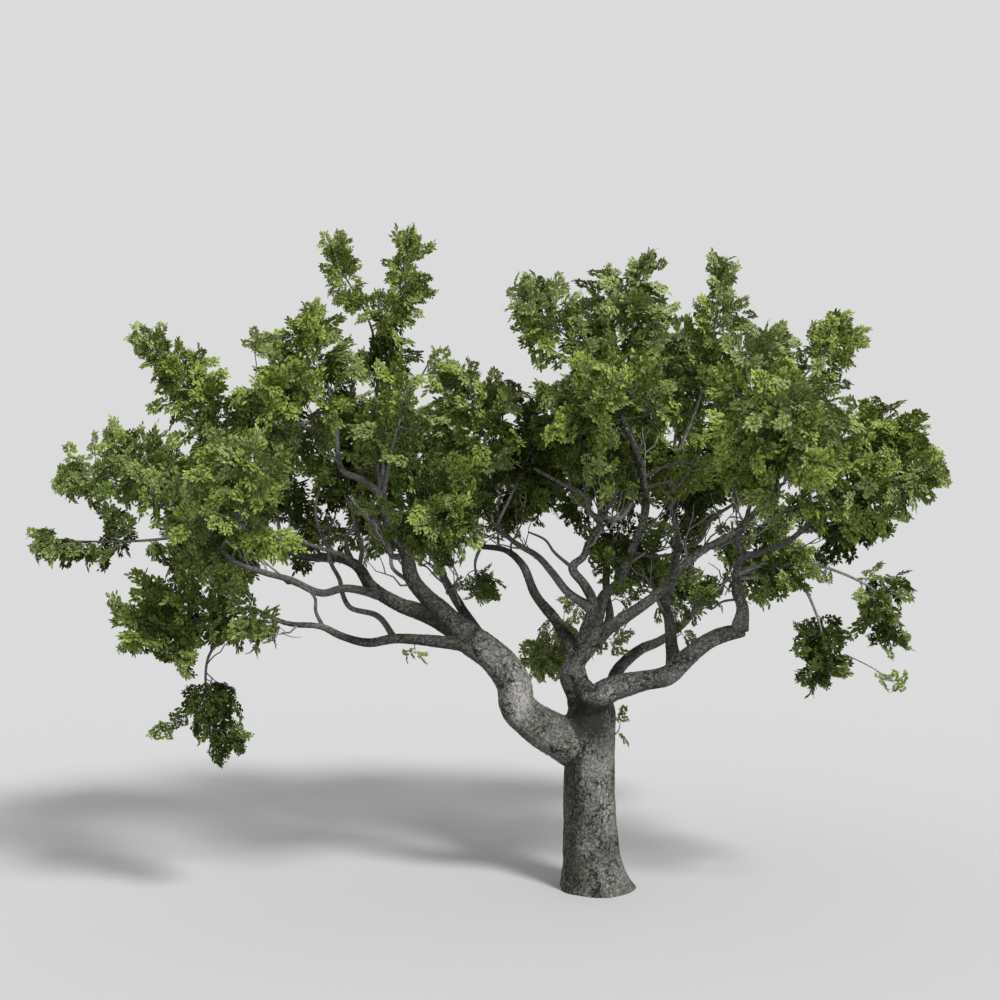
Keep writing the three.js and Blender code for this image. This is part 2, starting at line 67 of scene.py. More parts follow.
# The trunk and where each limb goes, the same named sizes as in the solids
trunkShape = {
    "girth": 0.65,  # across the clear stem
    "topGirth": 0.636,
    "crotchRound": 0.12,  # the last share of the height rounds over into the crotch
    "crotchNarrow": 0.25,
    "flareOut": 0.15,  # how far the root flare spreads past the clear stem
    "flareHeight": 0.29,
    "rightFlare": 0.6,
    "buttresses": 5,
    "buttressDepth": 0.05,
    "axis": [(-0.085, 0, 0), (-0.088, 0, 0.3), (-0.092, 0, 0.7), (-0.098, 0, 1.25), (-0.092, 0, 1.78),
        (-0.075, 0, 2.1), (-0.05, 0, 2.36)],
    "sides": 56,
    "rings": 60,
    "below": 0.06,  # cut off again at ground level
}
trunkTop = trunkShape["axis"][-1][2]

# A limb's parent, the share of the parent's length where it leaves, its girth at foot and tip, and its
# elbows and tip
limbTable = {
    "left_bough": ("trunk", 0.74, (0.52, 0.38), [(-0.62, -0.12, 1.97), (-0.98, -0.2, 2.26),
        (-1.05, -0.22, 2.58), (-1.31, -0.18, 2.92), (-1.66, -0.1, 3.15)]),
    "left_leader": ("left_bough", 0.93, (0.29, 0.11), [(-1.95, -0.25, 3.49), (-2.28, -0.3, 3.85),
        (-2.37, -0.32, 4.2), (-2.58, -0.36, 4.54), (-2.67, -0.4, 4.95)]),
    "mid_left_limb": ("left_bough", 0.9, (0.3, 0.076), [(-2.09, 0.12, 3.38), (-2.5, 0.22, 3.52),
        (-2.84, 0.32, 3.72), (-3.04, 0.42, 3.99), (-3.33, 0.5, 4.1), (-3.73, 0.6, 4.1), (-4.1, 0.7, 4.23)]),
    "low_left_limb": ("left_bough", 0.88, (0.19, 0.05), [(-2.07, -0.3, 3.11), (-2.47, -0.45, 3.15),
        (-2.82, -0.55, 3.11), (-3.14, -0.65, 3.21), (-3.34, -0.75, 3.32), (-3.75, -0.9, 3.38),
        (-4.13, -1, 3.57)]),
    "left_fork_limb": ("mid_left_limb", 0.47, (0.12, 0.05), [(-3.16, 0.06, 3.73), (-3.42, -0.1, 3.68),
        (-3.76, -0.5, 3.87), (-4.05, -0.8, 3.98), (-4.37, -1, 4.13), (-4.6, -1.1, 4.45)]),
    "crest_limb": ("left_leader", 0.98, (0.096, 0.044), [(-2.9, -0.46, 5.09), (-3.12, -0.5, 5.19),
        (-3.19, -0.5, 5.47), (-3.2, -0.5, 5.81), (-3.29, -0.5, 6.17)]),
    "left_back_limb": ("left_bough", 0.8, (0.18, 0.08), [(-1.7, 0.6, 3.42), (-2.02, 1.3, 3.9),
        (-2.26, 2, 4.49)]),
    "centre_stem": ("trunk", 0.9, (0.38, 0.2), [(-0.19, 0.07, 2.4), (-0.31, 0.06, 2.62), (-0.25, 0.02, 2.84),
        (-0.09, 0, 3.03), (0, 0, 3.19)]),
    "tall_limb": ("centre_stem", 0.93, (0.17, 0.072), [(0.03, 0.05, 3.43), (0.09, 0.08, 3.63),
        (0.27, 0.1, 3.78), (0.38, 0.1, 4.02), (0.47, 0.1, 4.27), (0.58, 0.05, 4.56), (0.61, 0, 4.87),
        (0.53, -0.1, 5.31), (0.37, -0.2, 5.68), (0.22, -0.3, 5.97)]),
    "knee_limb": ("centre_stem", 0.73, (0.18, 0.056), [(-0.14, -0.09, 3.24), (-0.06, -0.12, 3.56),
        (-0.16, -0.12, 3.78), (-0.32, -0.11, 4), (-0.17, -0.13, 4.14), (-0.12, -0.15, 4.3),
        (0.01, -0.2, 4.52), (0.11, -0.25, 4.75), (0.25, -0.3, 5)]),
    "long_right_limb": ("centre_stem", 0.88, (0.19, 0.044), [(0.23, -0.25, 3.33), (0.5, -0.4, 3.53),
        (0.78, -0.52, 3.77), (1.01, -0.62, 4.05), (1.26, -0.72, 4.26), (1.58, -0.85, 4.46),
        (1.86, -0.95, 4.74), (2.13, -1.05, 5.05)]),
    "inner_stem": ("centre_stem", 0.8, (0.13, 0.07), [(0.18, 0.35, 3.31), (0.16, 0.5, 3.62),
        (0.16, 0.6, 3.93), (0.2, 0.7, 4.21), (0.12, 0.85, 4.44), (0.11, 1.05, 4.73)]),
    "low_back_left_limb": ("centre_stem", 0.68, (0.19, 0.07), [(-0.51, 0.5, 3.31), (-0.75, 0.8, 3.6),
        (-0.91, 1.1, 3.97), (-1.14, 1.4, 4.16), (-1.56, 1.8, 4.2)]),
    "upper_left_limb": ("knee_limb", 0.25, (0.13, 0.05), [(-0.36, 0, 3.68), (-0.56, 0, 3.93),
        (-0.74, 0, 4.13), (-1.02, 0.05, 4.3), (-1.31, 0.1, 4.55)]),
    "right_bough": ("trunk", 0.92, (0.33, 0.18), [(0.04, -0.14, 2.4), (0.23, -0.24, 2.53),
        (0.51, -0.3, 2.61), (0.84, -0.4, 2.7), (1.07, -0.5, 2.94), (1.37, -0.58, 3.17), (1.73, -0.6, 3.28)]),
    "right_upright": ("right_bough", 0.975, (0.176, 0.05), [(1.71, -0.62, 3.54), (1.63, -0.65, 3.75),
        (1.65, -0.7, 4.03), (1.69, -0.72, 4.2), (1.63, -0.75, 4.36), (1.72, -0.8, 4.6),
        (1.78, -0.85, 4.87)]),
    "right_reach": ("right_upright", 0.55, (0.088, 0.05), [(1.95, -0.8, 4.22), (2.22, -0.9, 4.36),
        (2.46, -1, 4.58), (2.73, -1.05, 4.76)]),
    "back_right_stem": ("right_bough", 0.57, (0.18, 0.062), [(0.91, -0.2, 3.05), (0.9, 0, 3.36),
        (0.78, 0.3, 3.69), (0.73, 0.55, 4.04), (0.87, 0.8, 4.38), (1.01, 1, 4.67)]),
    "back_right_fork": ("back_right_stem", 0.38, (0.12, 0.062), [(0.97, 0.3, 3.78), (1.05, 0.4, 4.2),
        (1.05, 0.5, 4.52), (0.99, 0.6, 4.84), (1.02, 0.7, 5.23)]),
    "back_low_limb": ("trunk", 0.84, (0.22, 0.07), [(0.15, 0.3, 2.32), (0.3, 0.48, 2.65), (0.62, 0.8, 2.88),
        (0.91, 1.1, 2.96), (1.33, 1.7, 3.16), (1.65, 2.2, 3.43)]),
}

# The same for the stem of a mass of foliage, with the mass's breadth and the bare share of the stem
massTable = {
    "far_left": ("left_fork_limb", 1, 0.4, 0.36, [(-5.54, -0.9, 4.35), (-6.85, -0.9, 4.36)]),
    "left_shoulder": ("left_fork_limb", 0.97, 0.52, 0.25, [(-5.43, -1.15, 4.96), (-6.5, -1, 5.3)]),
    "upper_left": ("left_fork_limb", 0.99, 0.58, 0.3, [(-4.56, -1, 5.48), (-5.48, -0.7, 6.86)]),
    "front_left": ("left_fork_limb", 0.92, 1.09, 0.3, [(-4.13, -1.7, 4.7), (-4.04, -2.45, 5.6)]),
    "left_rise": ("mid_left_limb", 1, 0.64, 0.25, [(-5.11, 0.7, 4.84), (-6.48, 0.6, 5.69)]),
    "back_upper_left": ("mid_left_limb", 0.98, 0.86, 0.3, [(-4.28, 0.9, 5.6), (-4.36, 0.9, 6.8)]),
    "back_left": ("mid_left_limb", 0.95, 0.98, 0.25, [(-4.92, 1.7, 4.32), (-5.88, 2.6, 4.44)]),
    "low_left": ("low_left_limb", 1, 0.8, 0.05, [(-4.84, -1.15, 3.42), (-5.85, -1.05, 3.19)]),
    "low_hang": ("low_left_limb", 0.97, 0.52, 0.42, [(-4.26, -1.03, 3.33), (-4.64, -1, 3.01),
        (-4.56, -1, 1.63)]),
    "crest": ("crest_limb", 1, 0.84, 0.1, [(-3.4, -0.6, 6.65), (-3.63, -0.5, 7.19)]),
    "crest_left": ("crest_limb", 0.8, 0.87, 0.2, [(-3.66, -1.2, 5.75), (-4.36, -1.5, 6.33)]),
    "spire_left": ("left_leader", 1, 0.37, 0.4, [(-2.76, 0, 5.59), (-2.82, 0.1, 6.97), (-3.46, 0, 8.11)]),
    "spire_right": ("left_leader", 0.98, 0.41, 0.44, [(-2.64, -0.15, 5.58), (-2.56, 0, 6.96),
        (-2.31, 0.1, 8.34)]),
    "spire_side": ("left_leader", 0.95, 0.78, 0.25, [(-2.42, -0.6, 5.8), (-1.9, -0.7, 6.78)]),
    "front_inner": ("left_leader", 0.66, 0.78, 0.35, [(-2.18, -1, 4.72), (-1.6, -2.1, 4.6)]),
    "inner": ("left_leader", 0.44, 0.94, 0.38, [(-2.55, 0, 3.98), (-2.62, 0.3, 4.2), (-3.03, 0.95, 4.68),
        (-3.22, 1.2, 5.51), (-3.32, 1.5, 6.4)]),
    "back_mid_left": ("left_back_limb", 1, 1.06, 0.15, [(-2.43, 2.5, 5.45), (-2.7, 3, 6.42)]),
    "middle_top": ("upper_left_limb", 1, 0.8, 0.25, [(-1.4, 0, 5.59), (-1.77, -0.3, 6.59)]),
    "middle_right": ("upper_left_limb", 0.96, 0.74, 0.3, [(-0.89, 0.4, 5.3), (-0.65, 0.5, 6.08)]),
    "middle_back": ("low_back_left_limb", 1, 1, 0.2, [(-1.45, 2.25, 4.75), (-0.38, 2.9, 5.25)]),
    "back_hanging": ("low_back_left_limb", 0.96, 0.52, 0.2, [(-1.56, 1.95, 3.92), (-1.4, 2.05, 3.3)]),
    "low_back": ("low_back_left_limb", 0.3, 0.48, 0.1, [(-0.47, 0.75, 3.01), (-0.8, 1, 2.48)]),
    "overhang": ("tall_limb", 1, 0.72, 0.15, [(-0.11, -0.4, 6.55), (-1.15, -0.6, 7.41)]),
    "top_centre": ("tall_limb", 0.98, 0.7, 0.2, [(0.17, -0.4, 6.79), (0.56, -0.4, 7.91)]),
    "centre_front": ("tall_limb", 0.9, 1.01, 0.25, [(-0.06, -1.4, 5.76), (-0.13, -2.5, 6.05)]),
    "top_right": ("back_right_fork", 1, 0.5, 0.35, [(1.44, 0.6, 6.39), (1.63, 0.3, 8)]),
    "top_back": ("back_right_fork", 0.97, 0.98, 0.2, [(1.19, 1.2, 6.17), (1.41, 1.9, 7.18)]),
    "right_top": ("right_upright", 1, 0.54, 0.35, [(2.16, -0.7, 5.95), (3.2, -0.3, 7.06)]),
    "right_front": ("long_right_limb", 1, 1.06, 0.15, [(2.06, -1.7, 5.51), (1.94, -2.65, 5.91)]),
    "right_crown": ("long_right_limb", 0.97, 0.92, 0.25, [(1.87, -1, 6.02), (1.9, -0.9, 7)]),
    "right_far": ("right_reach", 1, 0.64, 0.2, [(3.38, -1, 5.07), (4.13, -0.8, 5.24)]),
    "right_shoulder": ("right_reach", 0.96, 0.66, 0.2, [(3.1, -0.45, 5.38), (4.12, -0.1, 5.7)]),
    "right_low": ("right_reach", 0.9, 0.6, 0.25, [(2.92, -0.45, 4.56), (3.6, -0.15, 4.33)]),
    "under_right": ("right_upright", 0.42, 0.56, 0.2, [(1.97, -1.2, 4.08), (2.23, -1.6, 3.62)]),
    "hanging_right": ("right_upright", 0.39, 0.45, 0.52, [(2.27, -0.9, 3.91), (2.52, -1, 3.48),
        (2.65, -1.1, 2.56)]),
    "hanging_far_right": ("right_upright", 0.45, 0.48, 0.58, [(2.3, -0.8, 4.11), (3.06, -0.75, 3.88),
        (3.38, -0.7, 3.64), (3.52, -0.6, 2.98)]),
    "back_right": ("back_right_stem", 1, 1.12, 0.2, [(1.94, 1.7, 5.39), (3.08, 2.5, 6.12)]),
    "back_centre": ("inner_stem", 1, 1.09, 0.2, [(0.25, 1.6, 5.05), (0.2, 2.1, 5.5), (0.25, 3.1, 6.37)]),
    "back_low_right": ("back_low_limb", 1, 0.95, 0.15, [(2.24, 2.6, 3.83), (3.16, 3.1, 4.4)]),
}

# Thin crooked limbs among the boughs: each leaves its parent near its first elbow
smallLimbs = {
    "bridge_limb": ("back_right_fork", (0.062, 0.024), [(1.3, 0.1, 4.33), (1.41, 0, 4.58),
        (1.65, -0.1, 4.76), (1.91, -0.3, 4.94), (2.23, -0.4, 5.12)]),
    "cross_limb": ("tall_limb", (0.05, 0.04), [(0.74, 0.15, 4.13), (1.09, 0.3, 4.16)]),
    "high_right_limb": ("tall_limb", (0.06, 0.024), [(0.86, -0.1, 5.26), (1.12, -0.3, 5.29),
        (1.36, -0.5, 5.23)]),
    "high_fork_limb": ("tall_limb", (0.046, 0.02), [(0.86, -0.2, 5.06), (0.94, -0.4, 5.0), (1.08, -0.6, 5.2),
        (1.19, -0.7, 5.38)]),
    "inner_bow_limb": ("knee_limb", (0.07, 0.036), [(0.28, -0.1, 4.61), (0.41, 0, 4.76), (0.48, 0.1, 4.95),
        (0.51, 0.15, 5.22)]),
    "high_left_limb": ("knee_limb", (0.08, 0.034), [(-0.11, -0.3, 4.69), (-0.16, -0.4, 4.87),
        (-0.45, -0.5, 5.03), (-0.8, -0.6, 5.22)]),
    "low_elbow_limb": ("knee_limb", (0.05, 0.022), [(-0.55, -0.3, 4.2), (-0.66, -0.4, 4.35),
        (-0.87, -0.5, 4.45)]),
    "right_crook_limb": ("right_upright", (0.036, 0.014), [(1.47, -0.6, 3.61), (1.34, -0.5, 3.51),
        (1.29, -0.4, 3.59), (1.14, -0.4, 3.42)]),
    "right_rise_limb": ("right_upright", (0.05, 0.02), [(1.79, -0.8, 3.98), (1.96, -0.9, 4.13)]),
    "under_limb": ("low_left_limb", (0.09, 0.036), [(-2.77, 0.1, 3.39), (-3.11, 0.2, 3.48),
        (-3.2, 0.2, 3.64), (-3.24, 0.2, 3.83), (-3.36, 0.25, 4.05), (-3.4, 0.3, 4.3), (-3.34, 0.3, 4.6)]),
    "left_link_limb": ("low_left_limb", (0.05, 0.03), [(-3.45, -0.5, 3.49), (-3.47, -0.4, 3.64),
        (-3.56, -0.4, 3.74), (-3.75, -0.4, 3.82), (-3.86, -0.4, 3.9)]),
    "left_lift_limb": ("left_leader", (0.09, 0.04), [(-2.54, -0.3, 4.15), (-2.58, -0.3, 4.31),
        (-2.66, -0.3, 4.44), (-2.87, -0.4, 4.65), (-3.03, -0.5, 4.86)]),
    "left_post_limb": ("mid_left_limb", (0.07, 0.03), [(-2.96, 0.2, 4.26), (-3.01, 0.2, 4.43),
        (-3.02, 0.2, 4.65), (-2.98, 0.2, 4.94)]),
    "left_twist_limb": ("mid_left_limb", (0.056, 0.024), [(-3.14, 0, 4.36), (-3.03, -0.1, 4.49),
        (-3.04, -0.2, 4.69), (-3.12, -0.3, 4.9)]),
    "left_spike_limb": ("mid_left_limb", (0.06, 0.026), [(-3.4, 0.2, 4.26), (-3.5, 0.2, 4.48),
        (-3.56, 0.3, 4.74), (-3.51, 0.4, 5.02)]),
    "upper_parallel_limb": ("mid_left_limb", (0.07, 0.03), [(-3.16, -0.1, 4.15), (-3.3, -0.3, 4.21),
        (-3.5, -0.4, 4.28), (-3.75, -0.5, 4.38), (-4.07, -0.7, 4.5)]),
}

# Every mass of foliage branches by these values
growth = {
    "limbTaper": 0.8,
    "seedStart": 41,
    "stemStops": 0.3,  # before the tip, where the last sprays take over
    "thickestStem": 0.055,
    "stemShare": 0.85,  # of its parent's girth
    "stemTip": 0.018,  # across a stem's end
    "twigGirth": (0.024, 0.011),
    "twigStep": 0.088,
    "wideMass": 0.8,  # narrower masses have their twigs closer
    "twigSpread": (46, 74),
    "goldenTurn": 137.5,
    "twigReach": (0.8, 1),
    "shortestTwig": 0.15,
    "twigCrook": 0.07,  # sideways bends, of its length
    "roomStep": 0.06,  # how finely the room for a twig is measured
    "sprayStep": 0.19,  # along a twig between one spray and the next
    "sprayTurn": 50,
    "sprayLength": 0.62,
    "sprayBreadth": 0.6,
    "spraySizes": (1, 0.85, 0.7, 0.55),
    "faceLift": (-0.1, 0.75),
    "tipTuft": [(-1.0, (30, -30)), (-0.4, (40, -40)), (0.0, (0, 52, -52)), (0.3, (24, -24)), (0.55, (0,))],
    "spaceMargin": -0.06,  # neighbouring masses mingle by this share of their breadth
    "edgeRoom": 0.02,  # how far leaves may pass the solids' box
    "sprayRoom": 0.01,  # between leaves and wood
    "twigRoom": 0.02,
}


def seeded(seed):
    state = [(seed * 2654435761) % 2**32]

    def draw(low=0.0, high=1.0):
        state[0] = (state[0] * 1664525 + 1013904223) % 2**32
        return low + (high - low) * state[0] / 2**32

    return draw


def unit(vector):
    return vector / max(np.linalg.norm(vector), 1e-9)


# A line with the distance from its foot at every point
def routeAlong(line):
    far = np.concatenate([[0], np.cumsum(np.linalg.norm(np.diff(line, axis=0), axis=1))])
    return {"line": line, "far": far, "length": far[-1]}


# A smooth line through the corners
def smoothRoute(corners, perSpan=16):
    corners = np.array(corners, float)
    whole = np.vstack([2 * corners[0] - corners[1], corners, 2 * corners[-1] - corners[-2]])
    gaps = np.maximum(np.linalg.norm(np.diff(whole, axis=0), axis=1), 1e-9) ** 0.5
    line = [corners[0]]
    for i in range(len(corners) - 1):
        before, start, end, after = whole[i:i + 4]
        first, span, last = gaps[i:i + 3]
        leave = ((start - before) / first - (end - before) / (first + span) + (end - start) / span) * span
        arrive = ((end - start) / span - (after - start) / (span + last) + (after - end) / last) * span
        for step in range(1, perSpan + 1):
            t = step / perSpan
            bend = (2 * start - 2 * end + leave + arrive) * t**3
            sway = (3 * end - 3 * start - 2 * leave - arrive) * t**2
            line.append(start + leave * t + sway + bend)
    return routeAlong(np.array(line))


def placeAt(route, share):
    reach = np.clip(share, 0, 1) * route["length"]
    return np.stack([np.interp(reach, route["far"], route["line"][:, axis]) for axis in range(3)], -1)


def headingAt(route, share):
    return unit(placeAt(route, min(share + 0.01, 1)) - placeAt(route, max(share - 0.01, 0)))


def evenShares(route, step, fewest):
    return np.linspace(0, 1, max(fewest, int(route["length"] / step)))


# Two directions square to a line at each of its points, carried along it without twist
def squareFrames(line):
    along = np.gradient(line, axis=0)
    along /= np.linalg.norm(along, axis=1)[:, None]
    side = unit(np.cross(along[0], (0.31, 0.87, 0.38)))
    sides = []
    for heading in along:
        side = unit(side - heading * side.dot(heading))
        sides.append(side)
    sides = np.array(sides)
    return along, sides, np.cross(along, sides)


routes = {"trunk": smoothRoute(trunkShape["axis"])}
for name, (parent, at, girth, line) in limbTable.items():
    routes[name] = smoothRoute([placeAt(routes[parent], at), *line])


def trunkRadius(height, heading):
    look = trunkShape
    share = np.clip(height / trunkTop, 0, 1)
    clear = (look["girth"] * (1 - share) + look["topGirth"] * share) / 2
    fade = np.exp(-np.maximum(height, 0) / look["flareHeight"])
    rounded = np.maximum(0, (share - 1 + look["crotchRound"]) / look["crotchRound"])
    lobes = 1 + look["buttressDepth"] * fade * np.cos(look["buttresses"] * heading)
    flare = look["flareOut"] * fade * (1 + look["rightFlare"] * np.cos(heading))
    return clear * lobes * (1 - look["crotchNarrow"] * rounded**2) + flare


def plainRadius(name, shares):
    if name == "trunk":
        return trunkRadius(shares * trunkTop, math.pi / 2)
    footGirth, tipGirth = limbTable[name][2]
    return (footGirth + (tipGirth - footGirth) * shares ** growth["limbTaper"]) / 2


def radiusAt(name, share):
    return float(plainRadius(name, np.array([share]))[0])


# A limb widens into a collar where it leaves its parent, and its girth is never quite even
limbLook = {"collar": 0.3, "collarLength": 1.1, "hidden": 0.9, "uneven": 0.06, "unevenScale": 3.2}


def limbRadii(name, shares):
    look, route = limbLook, routes[name]
    parent, at, girth, line = limbTable[name]
    past = np.maximum(0, shares * route["length"] - look["hidden"] * radiusAt(parent, at))
    collar = 1 + look["collar"] * np.exp(-past / (look["collarLength"] * girth[0] / 2))
    spots = placeAt(route, shares) * look["unevenScale"]
    uneven = np.array([noise.noise(Vector(spot)) for spot in spots])
    return plainRadius(name, shares) * collar * (1 + look["uneven"] * uneven)


def deselectAll():
    for other in bpy.context.selected_objects:
        other.select_set(False)


def makeActive(piece):
    deselectAll()
    piece.select_set(True)
    bpy.context.view_layer.objects.active = piece


# The trunk: a round foot raised ring by ring, then given its flare and buttresses
def raiseTrunk():
    step = (trunkTop + trunkShape["below"]) / trunkShape["rings"]
    deselectAll()
    bpy.ops.mesh.primitive_circle_add(
        vertices=trunkShape["sides"], radius=1, fill_type="NGON", location=(0, 0, -trunkShape["below"]))
    trunk = bpy.context.object
    makeActive(trunk)
    bpy.ops.object.transform_apply(location=True, rotation=True, scale=True)
    bpy.ops.object.mode_set(mode="EDIT")
    bpy.ops.mesh.select_all(action="SELECT")
    for ring in range(trunkShape["rings"]):
        bpy.ops.mesh.extrude_region_move(TRANSFORM_OT_translate={"value": (0, 0, step)})
    bpy.ops.mesh.select_all(action="SELECT")
    bpy.ops.mesh.normals_make_consistent(inside=False)
    bpy.ops.object.mode_set(mode="OBJECT")
    for vertex in trunk.data.vertices:
        heading = math.atan2(vertex.co.y, vertex.co.x)
        level = vertex.co.z
        centre = placeAt(routes["trunk"], max(level, 0) / trunkTop)
        radius = float(trunkRadius(level, heading))
        vertex.co = (centre[0] + radius * math.cos(heading), centre[1] + radius * math.sin(heading), level)
    return trunk


# A bough: a bevelled curve along its route, made a mesh
def drawTube(name, places, radii):
    curve = bpy.data.curves.new(name + "_line", "CURVE")
    curve.dimensions = "3D"
    curve.bevel_depth = 1
    curve.bevel_resolution = 6
    curve.use_fill_caps = True
    spline = curve.splines.new("POLY")
    spline.points.add(len(places) - 1)
    for knot, place, radius in zip(spline.points, places, radii):
        knot.co = (*place, 1)
        knot.radius = radius
    bough = bpy.data.objects.new(name + "_shape", curve)
    scene.collection.objects.link(bough)
    makeActive(bough)
    bpy.ops.object.convert(target="MESH")
    return bpy.context.object


def drawBough(name):
    shares = evenShares(routes[name], 0.05, 12)
    return drawTube(name, placeAt(routes[name], shares), limbRadii(name, shares))


# Where the right bough leaves the fork, it first dips as a thick fold in front of the centre stem
forkFold = {
    "line": [(-0.22, 0.0, 2.72), (-0.21, -0.17, 2.58), (-0.14, -0.28, 2.43), (-0.03, -0.31, 2.38),
        (0.11, -0.28, 2.46), (0.24, -0.24, 2.55)],
    "girth": [0.16, 0.2, 0.23, 0.25, 0.27, 0.26],
}


def drawFold():
    shares = np.linspace(0, 1, 24)
    knots = np.linspace(0, 1, len(forkFold["girth"]))
    radii = np.interp(shares, knots, forkFold["girth"]) / 2
    return drawTube("fork_fold", placeAt(smoothRoute(forkFold["line"]), shares), radii)


def applyModifier(piece, kind, **settings):
    makeActive(piece)
    modifier = piece.modifiers.new(kind.lower(), kind)
    for setting, value in settings.items():
        setattr(modifier, setting, value)
    bpy.ops.object.modifier_apply(modifier=modifier.name)


# Wood that meets is fused into one skin
def fuseWood(parts, name, voxel):
    wood = parts[0]
    makeActive(wood)
    for part in parts:
        part.select_set(True)
    bpy.ops.object.join()
    wood.name = name
    applyModifier(wood, "REMESH", mode="VOXEL", voxel_size=voxel)
    applyModifier(wood, "SMOOTH", factor=0.5, iterations=3)
    return wood


# Bark follows the limb it is on: round it and along it, as if the limb were straight
barkShape = {
    "sample": 0.03,
    "stretch": 0.85,  # features are this much narrower than they are long
    "border": 0.05,  # relief fades out where two limbs meet
    "plate": 0.1,  # between the cracks
    "crackWidth": 0.12,  # of a plate
    "crook": 0.05,
    "crookScale": 13.0,
    "kink": 0.014,
    "kinkScale": 45.0,
    "crackDepth": 0.007,
    "patchScale": 5.5,  # cracked and smooth patches
    "patchCracks": (0.6, 1.8),
    "grain": 0.03,
    "grainDepth": 0.006,
    "lump": 0.22,
    "lumpDepth": 0.014,
    "fullGirth": 0.3,  # thinner limbs have shallower, darker bark
    "thinCracks": 0.35,
    "bandHeading": -2.25,  # the dark, deeply cracked side of the trunk
    "bandWidth": 0.32,
    "bandCracks": 0.8,
    "hollow": (-0.06, -0.32, 2.14),  # a hollow under the fork, pressed in and darkened with painted shade
    "hollowReach": 0.28,
    "hollowDepth": 0.045,
    "hollowShadeTone": 0.7,
    "pale": (0.06, -0.3, 1.74),  # smooth pale bark below the fork
    "paleReach": 0.26,
    "paleTone": 0.27,
    # Each limb's bark tone is partly its own and partly painted light and shade: limbs inside the crown's
    # shade are darker, sunlit ones paler; limbTone is the same for every other limb
    "toneOf": {"trunk": 0.40, "left_bough": 0.56, "centre_stem": 0.54, "right_bough": 0.43,
        "left_leader": 0.12, "mid_left_limb": 0.2, "right_reach": 0.45, "long_right_limb": 0.42,
        "right_upright": 0.36},
    "limbTone": 0.27,
    "mottleScale": 3.1,
    "mottleTone": 0.34,
    "grainTone": 0.25,
    "bandTone": -0.3,
    "paintedLightSide": (0.46, -0.22, 0.86),  # painted light: bark facing this way is painted paler, and bark facing away is painted darker as painted shade
    "paintedLightTone": -0.06,
    "paintedShadeTone": 0.32,
}


def straightened(places, names):
    limbs = []
    for name in names:
        route = routes[name]
        shares = evenShares(route, barkShape["sample"], 6)
        line = placeAt(route, shares)
        limbs.append((line, *squareFrames(line), plainRadius(name, shares), shares * route["length"]))
    starts = np.cumsum([0] + [len(limb[0]) for limb in limbs[:-1]])
    samples, alongs, sides, others, radii, reaches = map(np.concatenate, zip(*limbs))
    found = []
    for chunk in np.array_split(places, max(1, len(places) // 3000)):
        square = (chunk**2).sum(1)[:, None] + (samples**2).sum(1) - 2 * chunk @ samples.T
        gaps = np.sqrt(np.maximum(square, 0)) - radii
        byLimb = np.minimum.reduceat(gaps, starts, axis=1)
        nearest, owner = gaps.argmin(1), byLimb.argmin(1)
        first, second = np.sort(byLimb, axis=1)[:, :2].T
        away = chunk - samples[nearest]
        on, across, beside = [(away * way[nearest]).sum(1) for way in (alongs, sides, others)]
        apart = np.maximum(np.hypot(across, beside), 1e-6)
        radius = radii[nearest]
        space = np.stack([across / apart * radius, beside / apart * radius,
            (reaches[nearest] + on) * barkShape["stretch"] + owner * 7.3], 1)
        found.append((space, np.clip((second - first) / barkShape["border"], 0.15, 1), radius * 2, owner))
    return map(np.concatenate, zip(*found))


# Noise in three directions. It is the same at every run, which noise.noise_vector is not
noiseShifts = [Vector(shift) for shift in ((9.3, -1.5, -7.9), (0, 0, 0), (6.3, 0.2, -2.7))]


def noiseWay(spot):
    return Vector([noise.noise(spot + shift) for shift in noiseShifts])


def eased(share):
    share = min(max(share, 0), 1)
    return share * share * (3 - 2 * share)


def vertexValues(mesh, kind):
    values = np.empty(len(mesh.vertices) * 3)
    mesh.vertices.foreach_get(kind, values)
    return values.reshape(-1, 3)


